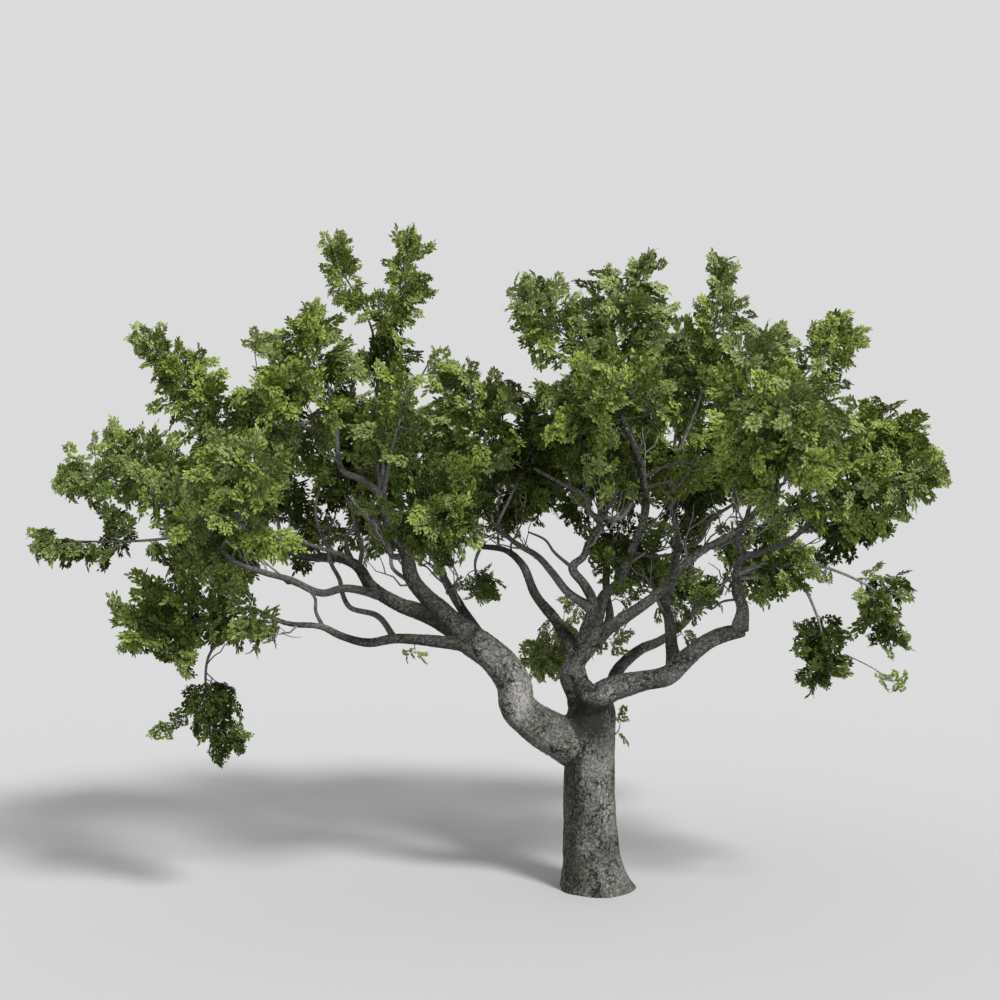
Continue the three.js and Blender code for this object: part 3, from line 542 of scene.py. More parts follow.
def dressBark(wood, names):
    mesh, look = wood.data, barkShape
    places, normals = vertexValues(mesh, "co"), vertexValues(mesh, "normal")
    spaces, fades, girths, owners = straightened(places, names)
    cracks, tones, lifts = np.empty((3, len(places)))
    facing = normals @ np.array(look["paintedLightSide"])
    hollows, pales = [np.exp(-((places - look[spot]) ** 2).sum(1) / look[spot + "Reach"] ** 2)
        for spot in ("hollow", "pale")]
    # Each limb's tone from toneOf (partly painted light and shade), lighter at the pale spot and darkened by
    # painted shade in the hollow under the fork
    baseTones = (np.array([look["toneOf"].get(name, look["limbTone"]) for name in names])[owners]
        + look["paleTone"] * pales - look["hollowShadeTone"] * hollows)
    usualCracks, patchyCracks = look["patchCracks"]
    for i, space in enumerate(spaces):
        spot = Vector(space)
        deep = min(1.0, girths[i] / look["fullGirth"])
        band = 0.0
        if names[owners[i]] == "trunk":
            heading = math.atan2(places[i][1], places[i][0] - trunkShape["axis"][0][0])
            band = math.exp(-((heading - look["bandHeading"]) / look["bandWidth"]) ** 2)
        crooked = (spot + noiseWay(spot * look["crookScale"]) * look["crook"]
            + noiseWay(spot * look["kinkScale"]) * look["kink"])
        nearest, second = noise.voronoi(crooked / look["plate"])[0][:2]
        edge = 1 - eased((second - nearest) / look["crackWidth"])
        patch = noise.noise(spot * look["patchScale"] + Vector((3, 1, 8)))
        crack = edge * eased(usualCracks + patchyCracks * patch + look["bandCracks"] * band)
        grain = noise.fractal(spot / look["grain"], 0.7, 2.1, 3)
        lump = noise.noise(spot / look["lump"])
        mottle = noise.noise(spot * look["mottleScale"] + Vector((5, 5, 2)))
        lifts[i] = fades[i] * deep * (grain * look["grainDepth"] - crack * look["crackDepth"]
            + lump * look["lumpDepth"]) - hollows[i] * look["hollowDepth"]
        cracks[i] = crack * (look["thinCracks"] + (1 - look["thinCracks"]) * deep)
        # The last term is painted light and shade: paler on the side that faces the light, darker on the far
        # side
        tones[i] = (baseTones[i] + look["mottleTone"] * mottle + look["grainTone"] * grain
            + look["bandTone"] * band + look["paintedLightTone" if facing[i] > 0 else "paintedShadeTone"] * facing[i])
    places += normals * lifts[:, None]
    mesh.vertices.foreach_set("co", places.astype(np.float32).ravel())
    addValues(mesh, barkSpace=spaces, crack=cracks, tone=tones)
    mesh.update()


def addValues(mesh, **values):
    for name, value in values.items():
        kind, field = ("FLOAT", "value") if value.ndim == 1 else ("FLOAT_VECTOR", "vector")
        layer = mesh.attributes.new(name, kind, "POINT")
        layer.data.foreach_set(field, value.astype(np.float32).ravel())


# Many small parts, gathered as arrays until they are made one mesh
def gather(gathering, triangles, **values):
    gathering.setdefault("triangles", []).append(triangles + gathering.get("count", 0))
    for kind, value in values.items():
        gathering.setdefault(kind, []).append(value)
    gathering["count"] = gathering.get("count", 0) + len(values["corners"])


def joined(gathering):
    return {kind: np.concatenate(parts) for kind, parts in gathering.items() if kind != "count"}


# One round tapering tube of slender wood
def addTube(gathering, line, radii, sides, tone=0.34):
    along, side, other = squareFrames(line)
    turns = np.arange(sides) * 2 * math.pi / sides
    ring = np.cos(turns)[None, :, None] * side[:, None, :] + np.sin(turns)[None, :, None] * other[:, None, :]
    corners = (line[:, None, :] + ring * radii[:, None, None]).reshape(-1, 3)
    rings = len(line)
    space = np.empty((rings, sides, 3))
    space[..., 0] = np.cos(turns)[None, :] * radii[:, None]
    space[..., 1] = np.sin(turns)[None, :] * radii[:, None]
    far = routeAlong(line)["far"][:, None]
    space[..., 2] = far * barkShape["stretch"] + gathering.get("count", 0) * 0.137
    here = np.arange(rings * sides).reshape(rings, sides)
    low, high = here[:-1], here[1:]
    lowNext, highNext = np.roll(low, -1, axis=1), np.roll(high, -1, axis=1)
    walls = np.concatenate([np.stack([low, lowNext, highNext], -1), np.stack([low, highNext, high], -1)])
    footFan = [(0, i + 1, i) for i in range(1, sides - 1)]
    lastRing = (rings - 1) * sides
    tipFan = [(lastRing, lastRing + i, lastRing + i + 1) for i in range(1, sides - 1)]
    gather(gathering, np.concatenate([walls.reshape(-1, 3), footFan, tipFan]), corners=corners,
        barkSpace=space.reshape(-1, 3), tone=np.full(len(corners), tone))


# The space that each mass of foliage may fill, along the leafy part of its stem
masses = []
for name, (parent, at, breadth, bare, line) in massTable.items():
    route = smoothRoute([placeAt(routes[parent], at), *line])
    spaceEnd = max(bare + 0.05, 1 - breadth / route["length"])
    masses.append({
        "name": name, "route": route, "breadth": breadth, "bare": bare,
        "stemEnd": 1 - growth["stemStops"] / route["length"],
        "girth": min(growth["thickestStem"], growth["stemShare"] * (2 * radiusAt(parent, at))),
        "leafyLine": placeAt(route, np.linspace(bare, spaceEnd, 5)),
    })
spaceStarts = np.stack([mass["leafyLine"][:-1] for mass in masses])
spaceSteps = np.stack([np.diff(mass["leafyLine"], axis=0) for mass in masses])
spaceLengths = (spaceSteps**2).sum(-1)
breadths = np.array([mass["breadth"] for mass in masses])
boxLow, boxHigh = np.array(cadBox[0]) - growth["edgeRoom"], np.array(cadBox[1]) + growth["edgeRoom"]


# How far out in each mass's space a place lies: 0 on its stem, 1 at its edge
def filled(places):
    away = places[:, None, None, :] - spaceStarts
    part = np.clip((away * spaceSteps).sum(-1) / spaceLengths, 0, 1)
    distance = np.linalg.norm(away - part[..., None] * spaceSteps, axis=-1)
    return distance.min(-1) / breadths


def inBox(places):
    return (places > boxLow).all() and (places < boxHigh).all()


# How far a twig may reach before it leaves its own mass's space
def roomAlong(foot, direction, index):
    step = growth["roomStep"]
    shares = filled(foot + (np.arange(1, 24) * step)[:, None] * direction)
    own = shares[:, index].copy()
    shares[:, index] = 9
    free = (own <= 1) & (shares.min(1) > own + growth["spaceMargin"])
    return step * (len(free) if free.all() else int(free.argmin()))


# Places on the wood, to keep twigs and leaves out of it
woodPlaces, woodRadii = [], []
for name, route in routes.items():
    shares = evenShares(route, 0.05, 4)
    woodPlaces.append(placeAt(route, shares))
    woodRadii.append(plainRadius(name, shares))
woodPlaces, woodRadii = np.vstack(woodPlaces), np.concatenate(woodRadii)


def clearOfWood(places, room):
    gaps = np.linalg.norm(places[:, None, :] - woodPlaces, axis=-1) - woodRadii
    return gaps.min() > room


def turned(vector, axis, angle):
    return (vector * math.cos(angle) + np.cross(axis, vector) * math.sin(angle)
        + axis * axis.dot(vector) * (1 - math.cos(angle)))


# A direction square to a line's own, turned this far round it
def aroundLine(along, turn):
    return turned(unit(np.cross((0, 0, 1), along)), along, turn)


def sprayFace(direction, random):
    turn = random(0, 2 * math.pi)
    face = np.array([math.cos(turn), math.sin(turn), random(*growth["faceLift"])])
    return unit(face - face.dot(direction) * direction)


def crookedLine(foot, direction, length, random, points=5, crook=growth["twigCrook"], rise=0.0):
    side = unit(np.cross(direction, (random(-1, 1), random(-1, 1), random(-1, 1))))
    other = np.cross(direction, side)
    line = [foot]
    for step in range(1, points):
        share = step / (points - 1)
        bend = side * random(-1, 1) + other * random(-1, 1)
        lift = np.array([0, 0, rise * length * share**2])
        line.append(foot + direction * length * share + bend * (crook * length) + lift)
    return np.array(line)


# Sky that shows through and beside the crown, seen from the front: each gap's middle, across and up in the
# plane of the trunk, and its half width and half height
skyGaps = np.array([
    (-2.9, 6.9, 0.1, 0.2), (-2.2, 6.32, 0.08, 0.34), (-2.1, 6.72, 0.07, 0.1), (-1.38, 6.5, 0.14, 0.09),
    (-2.82, 7.98, 0.16, 0.17), (-3.48, 7.66, 0.12, 0.12), (-2.8, 7.56, 0.09, 0.16),
    (-2.58, 7.98, 0.08, 0.12), (-6.28, 5.36, 0.12, 0.08), (-3.76, 7.2, 0.07, 0.08), (-5.78, 4.2, 0.16, 0.08),
    (-5.74, 3.92, 0.14, 0.06), (-5.84, 2.82, 0.16, 0.08), (-6.02, 3.1, 0.08, 0.2), (-5.24, 2.36, 0.1, 0.12),
    (-5.78, 4.75, 0.08, 0.12), (-2.5, 4.06, 0.12, 0.14), (-5.3, 5.72, 0.12, 0.14), (-6.62, 4.56, 0.3, 0.1),
    (-4.46, 6.4, 0.22, 0.16), (-5.72, 6.3, 0.12, 0.14), (-0.56, 6.54, 0.24, 0.1), (-1.2, 7.0, 0.08, 0.4),
    (0.3, 7.86, 0.12, 0.12), (1.3, 7.5, 0.1, 0.2), (1.84, 7.6, 0.1, 0.16), (3.4, 6.7, 0.08, 0.12),
    (3.12, 4.16, 0.1, 0.06), (3.2, 6.4, 0.1, 0.12), (4.14, 4.7, 0.14, 0.08), (-1.6, 3.98, 0.18, 0.1),
    (-0.74, 4.46, 0.18, 0.14), (-0.28, 4.28, 0.12, 0.06), (1.42, 4.08, 0.22, 0.08), (1.66, 3.46, 0.34, 0.14),
    (2.1, 3.46, 0.14, 0.1), (2.42, 3.54, 0.2, 0.14), (2.66, 3.46, 0.12, 0.12), (0.5, 4.46, 0.08, 0.12),
    (-5.0, 1.75, 0.14, 0.14), (-4.94, 2.66, 0.28, 0.12), (3.38, 4.14, 0.22, 0.08), (-4.04, 3.8, 0.28, 0.16),
    (3.92, 3.36, 0.1, 0.14), (-2.02, 4.86, 0.08, 0.05), (-2.94, 7.14, 0.09, 0.1), (-0.5, 6.42, 0.2, 0.06),
    (3.62, 4.2, 0.2, 0.08), (3.2, 3.28, 0.08, 0.2), (-0.92, 3.42, 0.1, 0.16), (-3.48, 2.98, 0.26, 0.14),
    (-4.55, 2.8, 0.2, 0.1), (-0.93, 3.72, 0.14, 0.2), (-4.15, 2.76, 0.16, 0.14),
])

# Limbs that show in front of the leaves behind them, up to a share of their length
shownLimbs = {"tall_limb": 1, "right_upright": 0.85, "right_reach": 0.6, "left_leader": 0.8, "knee_limb": 0.8,
    "long_right_limb": 0.85, "upper_left_limb": 0.6, "mid_left_limb": 0.8, "back_right_fork": 0.5}
shownRoom = 0.07


# Where a place is seen from the front, across and up in the plane of the trunk
def seenFromFront(places):
    eye = np.array(cameraView["place"])
    away = places - eye
    return eye[[0, 2]] - eye[1] * away[:, [0, 2]] / away[:, 1:2]


shownPlaces = np.vstack([placeAt(routes[name], np.linspace(0, share, 60))
    for name, share in shownLimbs.items()])
shownSeen = seenFromFront(shownPlaces)


# Whether leaves at these places would close a gap or hide a limb that the front shows
def hidesView(places):
    seen = seenFromFront(places)[:, None, :]
    inGap = (((seen - skyGaps[:, :2]) / skyGaps[:, 2:])**2).sum(-1) < 1
    before = places[:, 1:2] < shownPlaces[:, 1]
    return inGap.any() or (before & (np.linalg.norm(seen - shownSeen, axis=-1) < shownRoom)).any()


# Twigs and sprays of one mass
sprays = []
twigs = {}


def keepSpray(root, direction, face, length, luck):
    sprays.append({"root": root, "axes": np.stack([direction, np.cross(face, direction), face]) * length,
        "middle": root + direction * length / 2, "luck": luck})


# The largest spray that fits, if any does
def growSpray(root, direction, random, face=None, limit=9.0, free=False):
    if face is None:
        face = sprayFace(direction, random)
    across = np.cross(face, direction)
    fullLength, luck = growth["sprayLength"] * random(0.9, 1.1), random()
    for size in growth["spraySizes"]:
        length = size * fullLength
        if length > limit:
            continue
        spine = root + direction * (np.array([0.3, 0.6, 1.0]) * length)[:, None]
        half = length * growth["sprayBreadth"] / 2
        outline = np.vstack([spine, spine[:2] + across * half, spine[:2] - across * half])
        fits = inBox(outline) and (free or (filled(outline).min(1) <= 1).all())
        if fits and not hidesView(outline) and clearOfWood(outline, growth["sprayRoom"]):
            keepSpray(root, direction, face, length, luck)
            return


def growTwig(foot, direction, index, random):
    room = roomAlong(foot, direction, index) * random(*growth["twigReach"])
    length = room - growth["sprayLength"] * 0.75
    if length < growth["shortestTwig"]:
        growSpray(foot, direction, random)
        return
    line = crookedLine(foot, direction, length, random)
    if not clearOfWood(line[2:], growth["twigRoom"]):
        return
    footGirth, tipGirth = growth["twigGirth"]
    addTube(twigs, line, np.linspace(footGirth, tipGirth, len(line)) / 2, 4, random(0.35, 0.7))
    route = routeAlong(line)
    stations = max(1, round(length / growth["sprayStep"]))
    for station in range(stations):
        share = (station + 0.7) / (stations + 0.4)
        heading = headingAt(route, min(share, 0.98))
        face = sprayFace(heading, random)
        turn = math.radians(growth["sprayTurn"] * random(0.75, 1.25)) * (1 if station % 2 else -1)
        growSpray(placeAt(route, share), turned(heading, face, turn), random, face)
    growSpray(placeAt(route, 0.97), headingAt(route, 0.97), random)


def growMass(mass, index):
    random = seeded(growth["seedStart"] + index)
    route, bare, stemEnd = mass["route"], mass["bare"], mass["stemEnd"]
    shares = np.linspace(0, stemEnd, max(6, int(route["length"] / 0.09)))
    stemRadii = (mass["girth"] + (growth["stemTip"] - mass["girth"]) * shares / stemEnd) / 2
    addTube(twigs, placeAt(route, shares), stemRadii, 7, random(0.4, 0.7))
    twigStep = growth["twigStep"] * min(1, max(0.6, mass["breadth"] / growth["wideMass"]))
    steps = max(3, round((stemEnd - bare) * route["length"] / twigStep))
    for i in range(steps):
        share = bare + (stemEnd - bare) * (i + 0.5) / steps
        tangent = headingAt(route, share)
        spread = math.radians(random(*growth["twigSpread"]))
        side = aroundLine(tangent, math.radians(growth["goldenTurn"] * i + random(-20, 20) + 60 * index))
        growTwig(placeAt(route, share), tangent * math.cos(spread) + side * math.sin(spread), index, random)
    for share, turns in growth["tipTuft"]:
        place = stemEnd + (1 - stemEnd) * share
        for turn in turns:
            heading = headingAt(route, min(place, 0.98))
            face = sprayFace(heading, random)
            growSpray(placeAt(route, place), turned(heading, face, math.radians(turn)), random, face)


# Thin crooked branchlets on the outer part of every limb
branchletLook = {
    "seed": 7,
    "start": 0.3,
    "step": 0.24,
    "length": (0.4, 0.9),
    "lean": (0.6, 0.35),  # onwards along the limb and up
    "tone": (0.3, 0.8),
    "girth": 0.42,  # of the limb's own
    "thickest": 0.036,
    "tip": 0.009,
    "bends": (0.06, 0.3),  # sideways and up, of its length
    "furthest": 1.25,  # how far out of the leafy spaces one may reach
    "forkGirth": 0.55,
    "forkLength": (0.35, 0.6),
    "leafy": {"back_low_limb": 0.62, "inner_stem": 0.3, "low_back_left_limb": 0.3, "back_right_stem": 0.3,
        "back_right_fork": 0.2, "left_back_limb": 0.35, "low_left_limb": 0.8,
        "mid_left_limb": 0.55},  # these bear leaves from that share of their length
}


def growBranchlet(name, share, leafy, random):
    look, route = branchletLook, routes[name]
    along = headingAt(route, min(share, 0.98))
    around = aroundLine(along, random(0, 2 * math.pi))
    onwards, upwards = look["lean"]
    direction = unit(along * onwards + around + np.array([0, 0, upwards]))
    reach = random(*look["length"])
    tone = random(*look["tone"])
    line = crookedLine(placeAt(route, share), direction, reach, random, 7, *look["bends"])
    if name in look["leafy"] and not leafy:
        return
    if not inBox(line) or hidesView(line[-3:]) or not clearOfWood(line[3:], growth["twigRoom"]):
        return
    if not leafy and filled(line[-1:]).min() > look["furthest"]:
        return
    girth = min(look["thickest"], 2 * radiusAt(name, min(share, 1)) * look["girth"])
    addTube(twigs, line, np.linspace(girth, look["tip"], len(line)) / 2, 5, tone)
    for fork in (2, 3, 4, 5) if leafy else (2, 4):
        aside = unit(np.array([random(-1, 1), random(-1, 1), random(-0.5, 1)]))
        forkWay = unit(unit(line[fork + 1] - line[fork]) + 0.9 * aside)
        forkReach = reach * random(*look["forkLength"])
        forkLine = crookedLine(line[fork], forkWay, forkReach, random, 5, *look["bends"])
        if clearOfWood(forkLine[2:], growth["twigRoom"]):
            forkGirths = np.linspace(girth * look["forkGirth"], look["tip"] * 0.8, 5)
            addTube(twigs, forkLine, forkGirths / 2, 4, tone)
            growSpray(forkLine[-1], forkWay, random, free=leafy)
    growSpray(line[-1], unit(line[-1] - line[-2]), random, free=leafy)


def growBranchlets():
    look = branchletLook
    for index, name in enumerate(limbTable):
        length = routes[name]["length"]
        for step in range(int(length * (1 - look["start"]) / look["step"])):
            random = seeded(look["seed"] + 40 * index + step)
            share = look["start"] + (step + random()) * look["step"] / length
            growBranchlet(name, share, share > look["leafy"].get(name, 1), random)


# Twigs that reach on from a mass's stem to places on the crown's outline, each with a small fan of sprays
reachLook = {"seed": 19, "girth": (0.018, 0.011), "spray": 0.42, "back": 0.26, "turns": (0, 42, -42)}
reachingTwigs = {
    "spire_left": [(-3.4, 0, 8.08), (-3.2, 0, 8.16), (-2.97, 0, 7.4)],
    "spire_right": [(-2.36, 0.1, 8.2), (-2.16, 0.1, 7.64)],
    "upper_left": [(-5.5, -0.7, 6.86), (-4.8, -0.7, 6.6), (-5.22, -0.7, 6.2)],
    "crest": [(-3.48, -0.6, 7.2), (-4.18, -0.6, 6.8), (-3.03, -0.5, 6.23)],
    "crest_left": [(-4.0, -1.4, 6.78)],
    "middle_top": [(-2.0, -0.3, 6.3)],
    "overhang": [(-1.08, -0.6, 7.42), (-0.34, -0.6, 7.3), (-0.52, -0.6, 7.46)],
    "top_centre": [(0.66, -0.4, 7.82), (0.0, -0.4, 7.62), (0.9, -0.4, 7.0)],
    "top_right": [(1.66, 0.3, 7.94), (1.95, 0.3, 7.2)],
    "right_top": [(3.26, -0.3, 6.92), (2.85, -0.3, 7.0)],
    "right_crown": [(2.28, -0.9, 6.76)],
    "right_shoulder": [(3.47, -0.3, 6.06)],
    "right_far": [(4.08, -0.8, 5.2)],
    "far_left": [(-6.76, -0.9, 4.27), (-5.34, -0.9, 4.34)],
    "left_shoulder": [(-6.0, -1.0, 5.56), (-6.3, -1.0, 4.86), (-6.28, -1.0, 5.32)],
    "low_left": [(-5.72, -1.0, 3.52)],
    "low_hang": [(-4.3, -0.9, 3.3), (-4.36, -1.0, 2.62), (-4.2, -1.0, 2.08)],
    "front_inner": [(-1.9, -1.4, 4.02)],
    "right_low": [(2.36, -0.5, 4.78), (2.63, 0.3, 4.9)],
    "back_hanging": [(-1.9, 2.0, 3.72)],
    "back_centre": [(-0.3, 1.5, 4.57), (-0.45, 1.5, 4.75)],
    "middle_right": [(-1.04, 0.4, 6.38), (-0.85, 0.4, 6.2)],
    "hanging_far_right": [(3.66, -0.6, 3.86), (3.64, -0.6, 3.06), (2.5, -0.75, 4.1)],
    "hanging_right": [(2.34, -1.0, 3.2), (2.46, -1.0, 2.6)],
}


def growReaches():
    look = reachLook
    for index, mass in enumerate(masses):
        line = placeAt(mass["route"], np.linspace(mass["bare"], mass["stemEnd"], 24))
        for number, target in enumerate(reachingTwigs.get(mass["name"], [])):
            random = seeded(look["seed"] + 40 * index + number)
            nearest = int(np.linalg.norm(line - target, axis=1).argmin())
            foot = line[max(0, nearest - 3)]
            way = unit(np.array(target) - foot)
            length = max(0.05, np.linalg.norm(target - foot) - look["back"])
            twig = crookedLine(foot, way, length, random)
            addTube(twigs, twig, np.linspace(*look["girth"], len(twig)) / 2, 4)
            for turn in look["turns"]:
                face = sprayFace(way, random)
                growSpray(twig[-1], turned(way, face, math.radians(turn)), random, face, look["spray"], True)


# Small leafy twigs that stand apart from the crown: each has its line, its sprays' length, and for each
# spray the share of the line where it stands and its way
tufts = [
    ([(2.83, -1.1, 3.03), (3.15, -1.1, 2.87), (3.4, -1.1, 2.7)], 0.3, [(0.62, 0.5, -0.1, -0.85),
        (0.95, 1, 0, 0.3), (0.95, 0.8, 0.1, -0.6)]),
    ([(-4.68, -1, 2.45), (-4.9, -1, 2.32), (-5.08, -1, 2.2)], 0.32, [(0.5, -0.6, 0.1, -0.7),
        (0.95, -1, 0, -0.3), (0.95, -0.7, -0.2, -0.8)]),
    ([(0.2, -0.08, 1.9), (0.26, -0.12, 1.98), (0.28, -0.12, 2.06)], 0.25, [(0.5, 0.3, -0.2, -0.4),
        (0.95, 0.2, -0.1, 1)]),
    ([(-2.27, -0.3, 3.12), (-2.26, -0.33, 3.05), (-2.25, -0.35, 3.0)], 0.24, [(0.95, 0.6, -0.2, -0.7),
        (0.9, -0.7, -0.2, -0.5)]),
    ([(-3.75, -0.9, 3.38), (-3.95, -0.8, 3.4), (-4.1, -0.75, 3.34)], 0.36, [(0.3, -0.2, 0, -0.9),
        (0.95, -0.9, 0, -0.5), (0.95, -0.1, 0, -0.9), (0.95, 0.7, 0, -0.6)]),
    ([(-4.84, -1.15, 3.42), (-4.95, -1.1, 3.55), (-5.02, -1.05, 3.64)], 0.38, [(0.6, -0.9, 0, 0.2),
        (0.95, -0.5, 0, 0.6), (0.95, 0.6, 0, 0.7)]),
    ([(1.05, 0.4, 4.2), (1.15, 0.5, 4.32), (1.2, 0.55, 4.4)], 0.36, [(0.5, 0.7, 0.1, -0.3),
        (0.95, 0.8, 0.1, 0.3), (0.95, -0.2, 0.1, 0.9)]),
    ([(0.0, 0.1, 3.2), (0.1, 0.25, 3.1), (0.2, 0.35, 3.06)], 0.34, [(0.6, -0.5, 0.2, -0.6),
        (0.95, 0.6, 0.1, -0.7), (0.95, 0.9, 0.1, 0.2)]),
    ([(0.17, 0.45, 3.5), (0.28, 0.55, 3.56), (0.36, 0.6, 3.52)], 0.4, [(0.5, 0.5, 0.2, 0.8),
        (0.95, 0.9, 0.1, 0.3), (0.95, 0.6, 0.1, -0.8)]),
    ([(0.16, 0.6, 3.9), (0.36, 0.65, 3.95), (0.5, 0.6, 3.9)], 0.38, [(0.5, 0.3, 0.1, -0.8),
        (0.95, 0.9, 0.1, -0.2), (0.95, 0.4, 0.1, 0.8), (0.2, -0.8, 0.1, 0.3)]),
    ([(0.18, 0.35, 3.31), (-0.04, 0.4, 3.42), (-0.18, 0.45, 3.46)], 0.34, [(0.6, -0.2, 0.1, 0.9),
        (0.95, -0.9, 0.1, 0.3), (0.95, -0.5, 0.1, -0.7)]),
    ([(0.9, 0.0, 3.36), (1.03, 0.25, 3.46), (1.15, 0.4, 3.5), (1.32, 0.35, 3.62)], 0.36,
        [(0.35, -0.3, 0.1, 0.9), (0.95, 0.8, 0.1, 0.5), (0.65, 0.7, 0.1, -0.7), (0.95, 1, 0.1, -0.2)]),
    ([(0.91, -0.2, 3.05), (1.02, 0.1, 3.12), (1.1, 0.3, 3.14)], 0.34, [(0.6, 0.3, 0.1, 0.8),
        (0.95, 0.8, 0.1, -0.4)]),
]


def growTufts():
    random = seeded(branchletLook["seed"] + 1)
    for line, length, ways in tufts:
        route = smoothRoute(line)
        addTube(twigs, route["line"], np.linspace(0.008, 0.005, len(route["line"])), 4)
        for share, *way in ways:
            direction = unit(way)
            keepSpray(placeAt(route, share), direction, sprayFace(direction, random), length, random())


# One small leaf, a unit long: dark at its foot, painted shade where the leaves crowd together, and light at
# its edge
leafLook = {
    "sides": [(0.46, 0.26), (0.96, 0.15)],
    "light": (0, 0.55, 1, 0.55, 1),
    "fold": 0.5,
    "size": (0.192, 0.262),  # of its sheet's length
    "roll": 30,
    "pitch": 22,
    "lift": 0.015,
}


def oneLeaf():
    left = np.array(leafLook["sides"])
    flat = np.vstack([[(0, 0)], left, left * (1, -1)])
    lift = leafLook["fold"] * np.abs(flat[:, 1])
    return np.column_stack([flat, lift]), np.array([(0, 3, 4), (0, 4, 2), (0, 2, 1)])


# A spray: a twiglet that bears flat sheets of leaves left, right and at its end
sprayLook = {
    "seeds": (3, 11, 23, 37, 51, 64, 78, 90),
    "sheets": [(0.1, 52), (0.22, -50), (0.36, 46), (0.48, -8)],  # where on the twiglet, degrees aside
    "sheetLength": (0.42, 0.52),  # of the spray's length
    "endSheet": 1.12,  # how much longer the one at the end is
    "sheetRoll": 44,
    "sheetPitch": (-38, 24),
    "sheetArch": (0.1, 0.75),
    "pairs": 6,
    "fan": (-48, 0, 46),  # three leaves at the end of each rib
    "ribTurn": 52,
    "ribLength": (0.1, 0.24),
    "ribsFrom": 0.06,  # where on the sheet the first pair stands
    "ribsOver": 0.56,
    "ribStagger": 0.04,
    "endRib": 0.66,
    "sideStart": 0.6,  # a rib's side leaves start this far out on it
    "fullest": (1.12, 0.5, 0.4),  # leaf size at its largest, how fast it shrinks, and from where
    "twiglet": (1, 0.8, 0.6, 0.35),  # how it tapers
    "twigletGirth": 0.014,
    "twigletTone": 0.45,
    "sheetTone": 0.26,  # how much a sheet's own luck decides its tone
    "leafTone": 0.42,
    "edgeTone": 0.42,
}


# Rolled, pitched and then turned to a heading, all in degrees
def tilted(places, roll, pitch, heading):
    roll, pitch, heading = math.radians(roll), math.radians(pitch), math.radians(heading)
    x, y, z = places.T
    y, z = y * math.cos(roll) - z * math.sin(roll), y * math.sin(roll) + z * math.cos(roll)
    x, z = x * math.cos(pitch) - z * math.sin(pitch), x * math.sin(pitch) + z * math.cos(pitch)
    return np.column_stack([x * math.cos(heading) - y * math.sin(heading),
        x * math.sin(heading) + y * math.cos(heading), z])


# A sheet, a unit long: pairs of short ribs and one at its end, each with a fan of leaves
def drawSheet(random):
    look = sprayLook
    leaf, leafTriangles = oneLeaf()
    ribs = [(look["endRib"], 0, 0)]
    for pair in range(look["pairs"]):
        along = look["ribsFrom"] + look["ribsOver"] * (pair + random(-0.25, 0.25)) / (look["pairs"] - 1)
        for side in (1, -1):
            turn = side * look["ribTurn"] * random(0.8, 1.2)
            ribs.append((along + look["ribStagger"] * side, turn, random(*look["ribLength"])))
    spots = [(0.3, 0, random(-30, 30))]
    for along, turn, reach in ribs:
        for lean in look["fan"]:
            start = reach * (1 if lean == 0 else look["sideStart"])
            spots.append((along + start * math.cos(math.radians(turn)), start * math.sin(math.radians(turn)),
                turn + lean * random(0.75, 1.25)))
    gathering = {}
    largest, shrink, middle = look["fullest"]
    for along, aside, heading in spots:
        size = random(*leafLook["size"]) * (largest - shrink * abs(along - middle))
        roll, pitch = random(-1, 1) * leafLook["roll"], random(-1, 1) * leafLook["pitch"]
        place = (along, aside, random(-leafLook["lift"], leafLook["lift"]))
        # A leaf's tone is partly random and partly painted shade at its foot
        gather(gathering, leafTriangles, corners=tilted(leaf * size, roll, pitch, heading) + place,
            tone=look["leafTone"] * (random() - 0.3) + look["edgeTone"] * np.array(leafLook["light"]))
    sheet = joined(gathering)
    arch = random(*look["sheetArch"])
    corners = sheet["corners"]
    corners[:, 2] -= arch * corners[:, 0] ** 2 + 0.5 * arch * corners[:, 1] ** 2
    return sheet


def drawSpray(seed):
    look, random = sprayLook, seeded(seed)
    leaves, stalk = {}, {}
    for along, heading in look["sheets"]:
        sheet = drawSheet(random)
        length = random(*look["sheetLength"]) * (look["endSheet"] if abs(heading) < 20 else 1)
        roll, pitch = random(-1, 1) * look["sheetRoll"], random(*look["sheetPitch"])
        corners = tilted(sheet["corners"] * length, roll, pitch, heading * random(0.8, 1.2))
        gather(leaves, sheet["triangles"], corners=corners + (along, 0, 0),
            tone=sheet["tone"] + look["sheetTone"] * random())
    line = np.column_stack([np.linspace(-0.02, 0.6, 4), np.zeros(4), np.zeros(4)])
    addTube(stalk, line, np.array(look["twiglet"]) * look["twigletGirth"], 3, look["twigletTone"])
    return {"leaves": joined(leaves), "stalk": joined(stalk)}


# A shape made once is laid at every spray of a group, turned and sized to it
def layShape(gathering, shape, group):
    if not group:
        return
    axes, roots = [np.stack([spray[kind] for spray in group]) for kind in ("axes", "root")]
    corners = np.einsum("ci,sij->scj", shape["corners"], axes) + roots[:, None, :]
    starts = np.arange(len(group)) * len(shape["corners"])
    values = {kind: np.concatenate([value] * len(group)) for kind, value in shape.items()}
    values["corners"] = corners.reshape(-1, 3)
    values["triangles"] = (shape["triangles"][None] + starts[:, None, None]).reshape(-1, 3)
    gather(gathering, **values)
